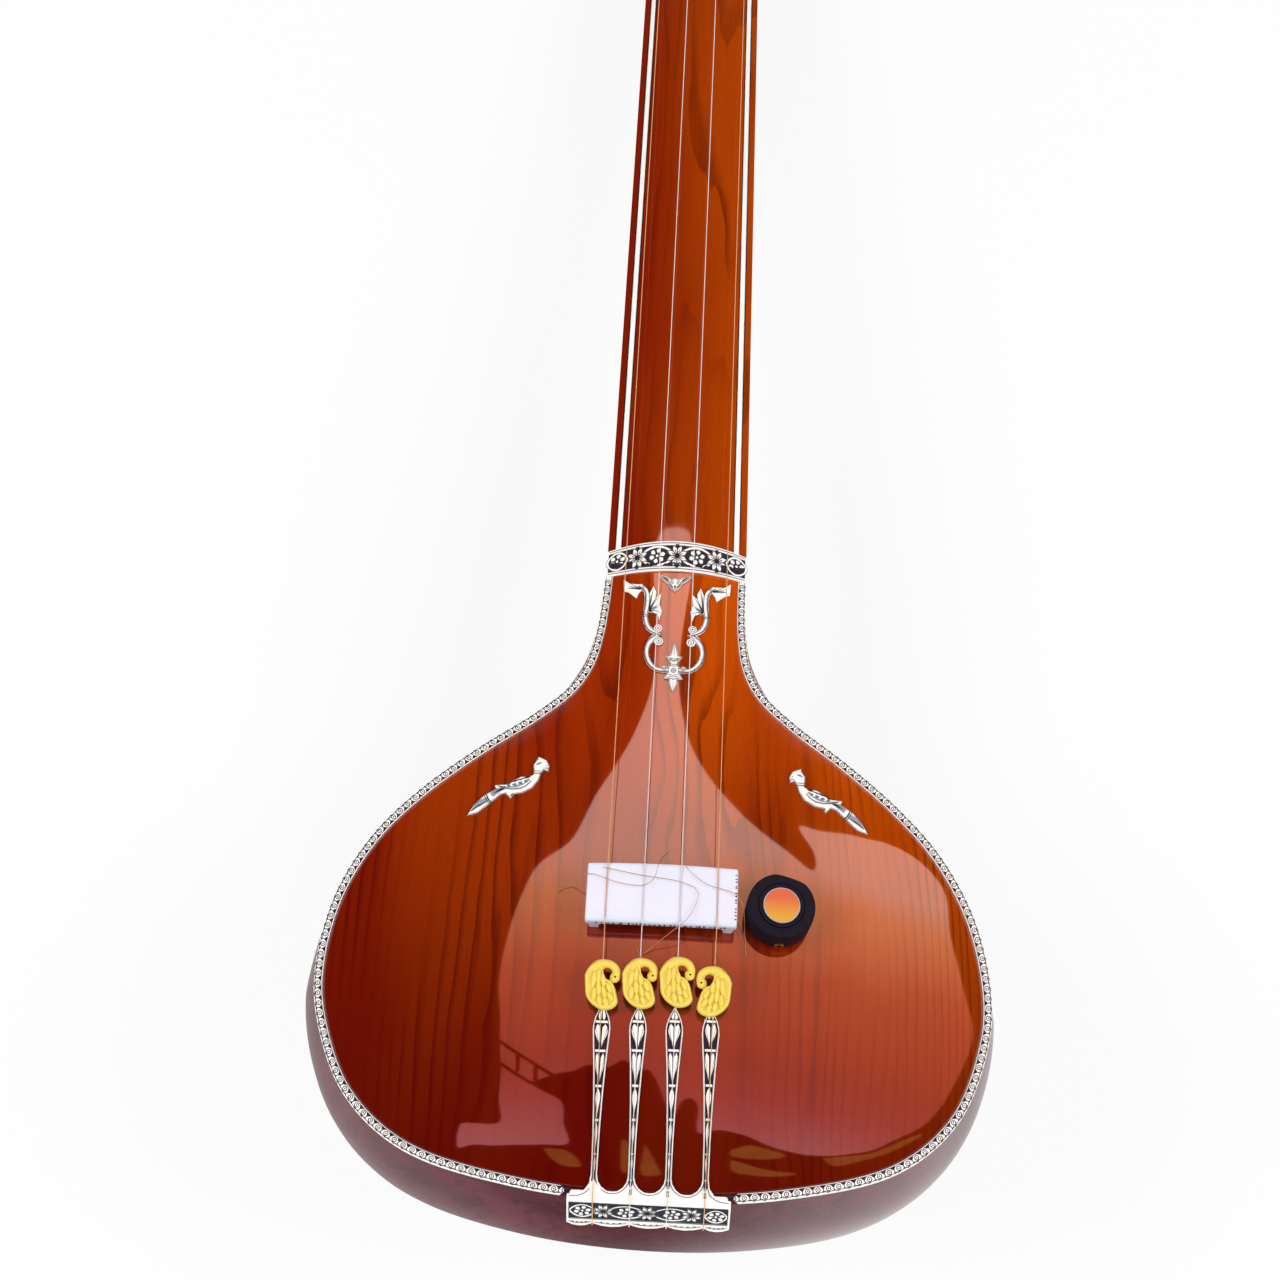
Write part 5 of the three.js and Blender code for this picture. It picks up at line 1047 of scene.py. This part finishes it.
# Painted shade: black patches on the tail face's lower edge and along the right end of the top stand for the shade
# inside the saw's nicks, which are not cut into the plate.
chance = np.random.default_rng(7)
nick_shades = []
for x in np.arange(-37, 38, 2.6) + chance.uniform(-1, 1, 29):
    high, wide = chance.uniform(2.2, 4.0), chance.uniform(0.35, 0.7)
    nick_shades.append(patch([(x - wide, 0.02), (x + wide, 0.02), (x + 0.6 * wide, high), (x - 0.7 * wide, 0.8 * high)]))
film("bridge_nicks", [(ink, nick_shades)], on_tail_face)
nick_shades = []
for y in np.arange(-13, 15, 2.2) + chance.uniform(-0.8, 0.8, 13):
    nick_shades.append(oval(BRIDGE_HALF - chance.uniform(0.9, 1.1), BRIDGE_MIDDLE + y, 0.7, chance.uniform(0.3, 0.5), 8))
film("bridge_edge_nicks", [(ink, nick_shades)], on_bridge_top)
rounded("bridge_base", bridge_white)


# Strings. Four drawn wires, tied to pins under the tail plate: the two in the middle are steel
# and the outer ones bronze. At the head each is wound round its peg.
steel = mottled("steel_wire", (0.8, 0.76, 0.75), (0.92, 0.88, 0.87), 300, Metallic=0.5, Roughness=0.35)
bronze = mottled("bronze_wire", (0.74, 0.38, 0.15), (0.86, 0.48, 0.22), 300, Metallic=0.5, Roughness=0.35)
for k, wire in enumerate((bronze, steel, steel, bronze), 1):
    dress(wire, f"string_{k}", f"winding_{k}", f"hitch_pin_{k}")


# Pegs. Turned of hard wood, stained and varnished like the neck, and held by friction in their
# tapered holes.
for k in (1, 2, 3, 4):
    rounded(f"peg_{k}", side_wood, 1, body=f"peg_{k}")


# Beads. Swans moulded of yellow plastic, bored through and threaded on the strings between the
# tail plate and the bridge; slid along, they tune a string finely. The last one faces the others.
SWAN = [
    (-9.9, 5), (-9.4, -1), (-8.6, -6.5), (-5.2, -11), (-0.5, -13.6), (3.5, -13.9), (7.3, -12.3),
    (9.1, -9.6), (8.3, -5), (6.9, -0.6), (4.6, 2.2), (2.2, 3.4), (0.6, 6.5), (-0.2, 10.4),
    (-2.6, 12.2), (-5.6, 11.2), (-8.3, 8.6),
]
SWAN_MIDDLE, FACE = np.array((-1.2, -2.0)), 3.2
SWAN_PILLOW = [(1, 1.4), (0.985, 2.4), (0.955, 3.2), (0.9, 3.8), (0.84, 3.8), (0.76, 3.3), (0.5, FACE)]
SWAN_NECK = [
    (-4.2, 8.6, 3.4), (-1.6, 10.7, 3.2), (1.6, 11.6, 2.5), (4.6, 11.1, 2.3), (7.0, 9.2, 2.3),
    (7.8, 6.6, 2.3), (7.2, 4.4, 2.5),
]
EYE, EYE_OUT, EYE_SIZE = (7.2, 4.4), 2.72, 0.62
# Each feather: where its middle is, its half length and its lean in degrees.
FEATHERS = [
    (-4.6, 2.6, 4.6, -6), (-4.2, -5.2, 3.6, -2), (-2.0, 4.2, 3.8, -4), (-1.7, -2.2, 4.2, 4), (-1.0, -8.6, 3.0, 12),
    (0.7, 2.2, 3.4, 8), (1.4, -4.2, 3.8, 16), (2.4, -9.4, 2.8, 24), (4.0, -1.6, 3.0, 24), (4.9, -6.4, 2.8, 30),
]
yellow, yellow_shader, place = finish("bead_yellow", Roughness=0.4, Coat_Weight=0.25, Coat_Roughness=0.15)
# Painted shade: the hollows between feathers, neck and body are coloured dark brown, where shade falls in them.
crease_shade_mask = place.node("NewGeometry", {}, {}, 7).step(0.4, 0.54)
lemon = place.cloud(2.0, 0.0, 120).blend((0.86, 0.66, 0.1), (0.9, 0.72, 0.14))
feed(yellow_shader, "Base Color", crease_shade_mask.blend((0.5, 0.26, 0.02), lemon))
work = bmesh.new()
around = smooth_line(SWAN + SWAN[:1], 73)[:-1]
pillow = [(s, z) for s, z in SWAN_PILLOW[::-1]] + [(s, -z) for s, z in SWAN_PILLOW]
rows = [[work.verts.new((*(SWAN_MIDDLE + (p - SWAN_MIDDLE) * s), z)) for p in around] for s, z in pillow]
tips = [work.verts.new((*SWAN_MIDDLE, z)) for z in (FACE, -FACE)]
for j in range(len(around)):
    k = (j + 1) % len(around)
    for upper, lower in zip(rows, rows[1:]):
        work.faces.new((upper[j], lower[j], lower[k], upper[k]))
    work.faces.new((tips[0], rows[0][j], rows[0][k]))
    work.faces.new((tips[1], rows[-1][k], rows[-1][j]))


def lump(x, y, z, across, along, high, lean=0.0):
    place = Matrix.Translation((x, y, z)) @ Matrix.Rotation(math.radians(lean), 4, "Z")
    shape = Matrix.Diagonal((across, along, high, 1))
    bmesh.ops.create_icosphere(work, subdivisions=3, radius=1, matrix=place @ shape)


def poured(name):
    """A mesh of what is at work."""
    mesh = bpy.data.meshes.new(name)
    work.to_mesh(mesh)
    work.free()
    return mesh


for x, y, radius in smooth_line(SWAN_NECK, 34):
    lump(x, y, 0, radius, radius, radius * 1.15)
head, beak = (7.0, 4.2, 0, 2.9, 3.0, 2.9), (5.1, 1.9, 0, 1.5, 2.2, 1.5, -25)
lump(*head)
lump(*beak)
for x, y, size, lean in FEATHERS:
    for face in (-FACE, FACE):
        lump(x, y, face, 1.45, size, 1.8, lean)
swan = put("swan", poured("swan"))
merge = swan.modifiers.new("merge", "REMESH")
merge.mode, merge.voxel_size, merge.use_smooth_shade = "VOXEL", 0.26, True
soften = swan.modifiers.new("soften", "SMOOTH")
soften.factor, soften.iterations = 0.5, 4
work = bmesh.new()
lengthwise = Matrix.Rotation(math.pi / 2, 4, "X")
bmesh.ops.create_cone(work, cap_ends=True, segments=16, radius1=0.8, radius2=0.8, depth=60, matrix=lengthwise)
rod = put("bore", poured("bore"))
bore = swan.modifiers.new("bore", "BOOLEAN")
bore.operation, bore.object, bore.solver = "DIFFERENCE", rod, "EXACT"
swan_mesh = worked_out(swan)
for helper in (swan, rod):
    bpy.data.objects.remove(helper)
work = bmesh.new()
for x, y, z in ((*EYE, -EYE_OUT), (*EYE, EYE_OUT)):
    lump(x, y, z, EYE_SIZE, EYE_SIZE, 0.35)
eyes_mesh = poured("eyes")
STRING_SPACING, STRING_TAIL, STRING_BRIDGE = 21, (-1.493, 5.9), (149.1, 36.279)
for k, y in ((1, 112.4), (2, 114.0), (3, 115.6), (4, 111.4)):
    tail_end = Vector(((k - 2.5) * FINGER_SPACING, *STRING_TAIL))
    bridge_end = Vector(((k - 2.5) * STRING_SPACING, *STRING_BRIDGE))
    along = (bridge_end - tail_end).normalized()
    across = (Vector((1, 0, 0)) - along * along.x).normalized()
    basis = Matrix((across, along, across.cross(along))).transposed().to_4x4()
    basis.translation = tail_end.lerp(bridge_end, (y - tail_end.y) / (bridge_end.y - tail_end.y))
    for name, source, colour in (("swan", swan_mesh, yellow), ("swan_eyes", eyes_mesh, ink)):
        mesh = source.copy()
        if k == 4:
            mesh.transform(Matrix.Diagonal((-1, 1, 1, 1)))
            mesh.flip_normals()
        mesh.transform(TO_ROW @ basis)
        mesh.materials.clear()
        mesh.materials.append(colour)
        piece = put(f"{name}_{k}", mesh)
        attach(piece, f"bead_{k}")
        if name == "swan":
            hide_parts(f"bead_{k}")


# Pickup. A contact microphone in a round black plastic case, stuck on the soundboard beside the
# bridge: a lid let into its top carries a coloured paper disc, and a brass jack its cable.
black, black_shader, place = finish("pickup_black", Roughness=0.5, Specular_IOR_Level=0.12)
feed(black_shader, "Base Color", place.cloud(3.0, 0.0, 400).blend((0.003, 0.004, 0.009), (0.009, 0.011, 0.02)))
relief(black_shader, place.cloud(3.0, 0.0, 1500), 0.0001, 0.4)
for node in ("pickup_housing", "pickup_cap"):
    rounded(node, black, 2, 30)
dress(black, "pickup_pad")
brass = mottled("brass", (0.7, 0.45, 0.16), (0.85, 0.6, 0.28), 300, Metallic=1.0, Roughness=0.3)
rounded("jack_socket", brass, 2, 30)
dress(brass, "piezo_disc")
LABEL_MIDDLE, LABEL_RADIUS = (0.06803, 0.05052), 0.01
label, label_shader, place = finish("pickup_disc", Roughness=0.35, Coat_Weight=0.5)
x, y, z = place.split()
x, y = x - LABEL_MIDDLE[0], y - LABEL_MIDDLE[1]
paper = (y + place.cloud(2.0, 0.0, 200) * 0.002).step(-0.0085, 0.008).blend((0.58, 0.33, 0.025), (0.55, 0.09, 0.035))
edge = ((x * x + y * y * 1.03) ** 0.5).step(LABEL_RADIUS - 0.0001, LABEL_RADIUS + 0.0001)
feed(label_shader, "Base Color", edge.blend(paper, (0.3, 0.38, 0.5)))
dress(label, "pickup_label")


# The room. A pale floor, soft lamps at both sides and at the tail, a bright horizon under a dark
# ceiling, and one warm panel overhead, which the varnish mirrors.
FLOOR_HALF, WASHED_OUT = 30, 0.88
corners = [(x * FLOOR_HALF, y * FLOOR_HALF, 0) for x, y in ((-1, -1), (1, -1), (1, 1), (-1, 1))]
floor_mesh = shaped("floor", corners, [(0, 1, 2, 3)])
floor = put("floor", floor_mesh)
floor_white, floor_shader, place = finish("floor_white", Roughness=1.0, Specular_IOR_Level=0.0)
feed(floor_shader, "Base Color", place.cloud(2.0, 0.0, 3).blend((0.88, 0.88, 0.88), (0.9, 0.9, 0.9)))
finishing = floor_white.node_tree
rays = place.node("LightPath", {}, {}).socket.node.outputs
seen = Layer(finishing, rays["Is Camera Ray"]) * WASHED_OUT
white = place.node("Emission", {}, {"Color": (1, 1, 1), "Strength": 1.0})
surface = place.node("MixShader", {}, {0: seen, 1: Layer(finishing, floor_shader.outputs[0]), 2: white})
finishing.links.new(surface.socket, finishing.nodes["Material Output"].inputs["Surface"])
floor_mesh.materials.append(floor_white)

world = bpy.data.worlds.new("room")
world.use_nodes = True
bpy.context.scene.world = world
sky = Layer(world.node_tree).node("TexCoord", {}, {}, 0)
height = sky.node("VectorMath", {"operation": "NORMALIZE"}, {0: sky}).split()[2]
sky_colour = height.step(0.25, 0.6).blend((0.9, 0.9, 0.9), (0.015, 0.013, 0.012))
feed(world.node_tree.nodes["Background"], "Color", sky_colour)

# Over the instrument hang the panel, golden patches beside it and dark rails just below it.
PANEL_HEIGHT, RAIL_HEIGHT, RAIL_WIDTH = 1900, 1888, 16
PANEL_EDGE = [
    (80, 1480), (130, 1390), (280, 1280), (460, 1180), (560, 1130), (580, 1200), (545, 1320), (640, 1350),
    (830, 1430), (1040, 1470), (1170, 1300), (1140, 1000), (1160, 800), (1185, 480), (1100, 270), (950, -10),
    (790, -180), (640, -330), (470, -420), (380, -420), (310, -370), (250, -310), (170, -280), (120, -310),
    (110, -120), (90, -80), (70, -100), (50, -190), (30, -130), (0, 40), (-20, 90), (-40, 70), (-60, 120), (-80, 140),
    (-100, 110), (-130, 80), (-170, 100), (-210, 50), (-260, 20), (-320, -50), (-290, -90), (-250, -140),
    (-240, -290), (-230, -430), (-310, -440), (-410, -470), (-510, -480), (-545, -500), (-560, -340),
    (-555, -310), (-420, -320), (-430, -140), (-490, 270), (-520, 590), (-510, 760), (-480, 930), (-430, 1070),
    (-320, 1150), (-260, 1300), (-190, 1400), (-150, 1470), (-110, 1490), (60, 1490),
]
GOLDEN = [
    [(-300, -465), (-230, -475), (-190, -580), (-240, -580), (-280, -520)],
    [(-20, -400), (10, -530), (20, -610), (-20, -620)],
    [(-80, -380), (-68, -380), (-58, -610), (-72, -610)],
    [(210, -410), (270, -370), (360, -440), (320, -460), (210, -450)],
    [(210, -480), (320, -530), (400, -560), (310, -580), (220, -560)],
    [(470, -440), (640, -350), (860, -140), (930, -90), (780, -260), (630, -400), (500, -490)],
]
RAILING = [
    [(-495, 284), (-380, 155), (-262, 16)], [(-478, 143), (-400, 48), (-317, -48)], [(-414, 196), (-387, 50)],
    [(-323, 88), (-309, -46)], [(173, -285), (250, -313), (335, -397), (432, -444)],
]


def overhead(name, edge, height, material):
    """A thin flat piece that hangs over the instrument and that only the varnish mirrors."""
    mesh = shaped(name, lay([(x, y, height) for x, y in edge]), [range(len(edge))])
    mesh.materials.append(material)
    piece = put(name, mesh)
    piece.visible_camera = piece.visible_diffuse = piece.visible_shadow = False


panel_light, panel_shader, place = finish("panel_light", Base_Color=(0, 0, 0, 1), Emission_Strength=4.0)
x, y, z = place.split()
stops = [
    (0.0, (0.68, 0.27, 0.31)), (0.12, (0.66, 0.2, 0.2)), (0.25, (0.6, 0.11, 0.1)), (0.36, (0.53, 0.1, 0.066)),
    (0.5, (0.62, 0.12, 0.065)), (0.63, (0.68, 0.165, 0.085)), (0.76, (0.93, 0.4, 0.2)), (0.86, (0.9, 0.6, 0.48)),
]
cloudy = place.cloud(2.0, 0.4, 3) - 0.5
glow = place.node("ValToRGB", {"stops": stops}, {"Fac": (y + 0.4 + cloudy * 0.2) / 2.0})
feed(panel_shader, "Emission Color", glow)
golden_light, golden_shader, place = finish("golden_light", Base_Color=(0, 0, 0, 1), Emission_Strength=1.4)
feed(golden_shader, "Emission Color", place.cloud(2.0, 0.4, 12).blend((0.7, 0.22, 0.02), (0.9, 0.5, 0.12)))
rail_dark, rail_shader, place = finish("rail_dark", Roughness=1.0, Specular_IOR_Level=0.0)
feed(rail_shader, "Base Color", place.cloud(2.0, 0.4, 12).blend((0.02, 0.008, 0.004), (0.05, 0.02, 0.01)))
overhead("panel", smooth_line(PANEL_EDGE + PANEL_EDGE[:1], 620)[:-1], PANEL_HEIGHT, panel_light)
for i, edge in enumerate(GOLDEN, 1):
    overhead(f"golden_patch_{i}", smooth_line(edge + edge[:1], 40)[:-1], PANEL_HEIGHT, golden_light)
for i, line in enumerate(RAILING, 1):
    there, back_again = np.split(strip(smooth_line(line, 14), RAIL_WIDTH)[0], 2)
    overhead(f"rail_{i}", [*there, *back_again[::-1]], RAIL_HEIGHT, rail_dark)


def lamp(name, at, towards, size, power):
    light = bpy.data.lights.new(name, "AREA")
    light.shape = "RECTANGLE"
    light.size, light.size_y = size
    light.energy = power
    holder = put(name, light)
    holder.location = at
    holder.visible_glossy = False
    holder.rotation_euler = (Vector(at) - Vector(towards)).to_track_quat("Z", "Y").to_euler()


lamp("left_lamp", (-2.1, 0.2, 2.6), (0, 0.2, 0.2), (1.6, 1.6), 64)
lamp("right_lamp", (2.2, 0.3, 2.6), (0, 0.2, 0.2), (1.6, 1.6), 64)
lamp("tail_lamp", (0.3, -2.6, 1.9), (0, 0.1, 0.2), (1.8, 1.2), 30)
bpy.context.scene.view_settings.view_transform = "Standard"
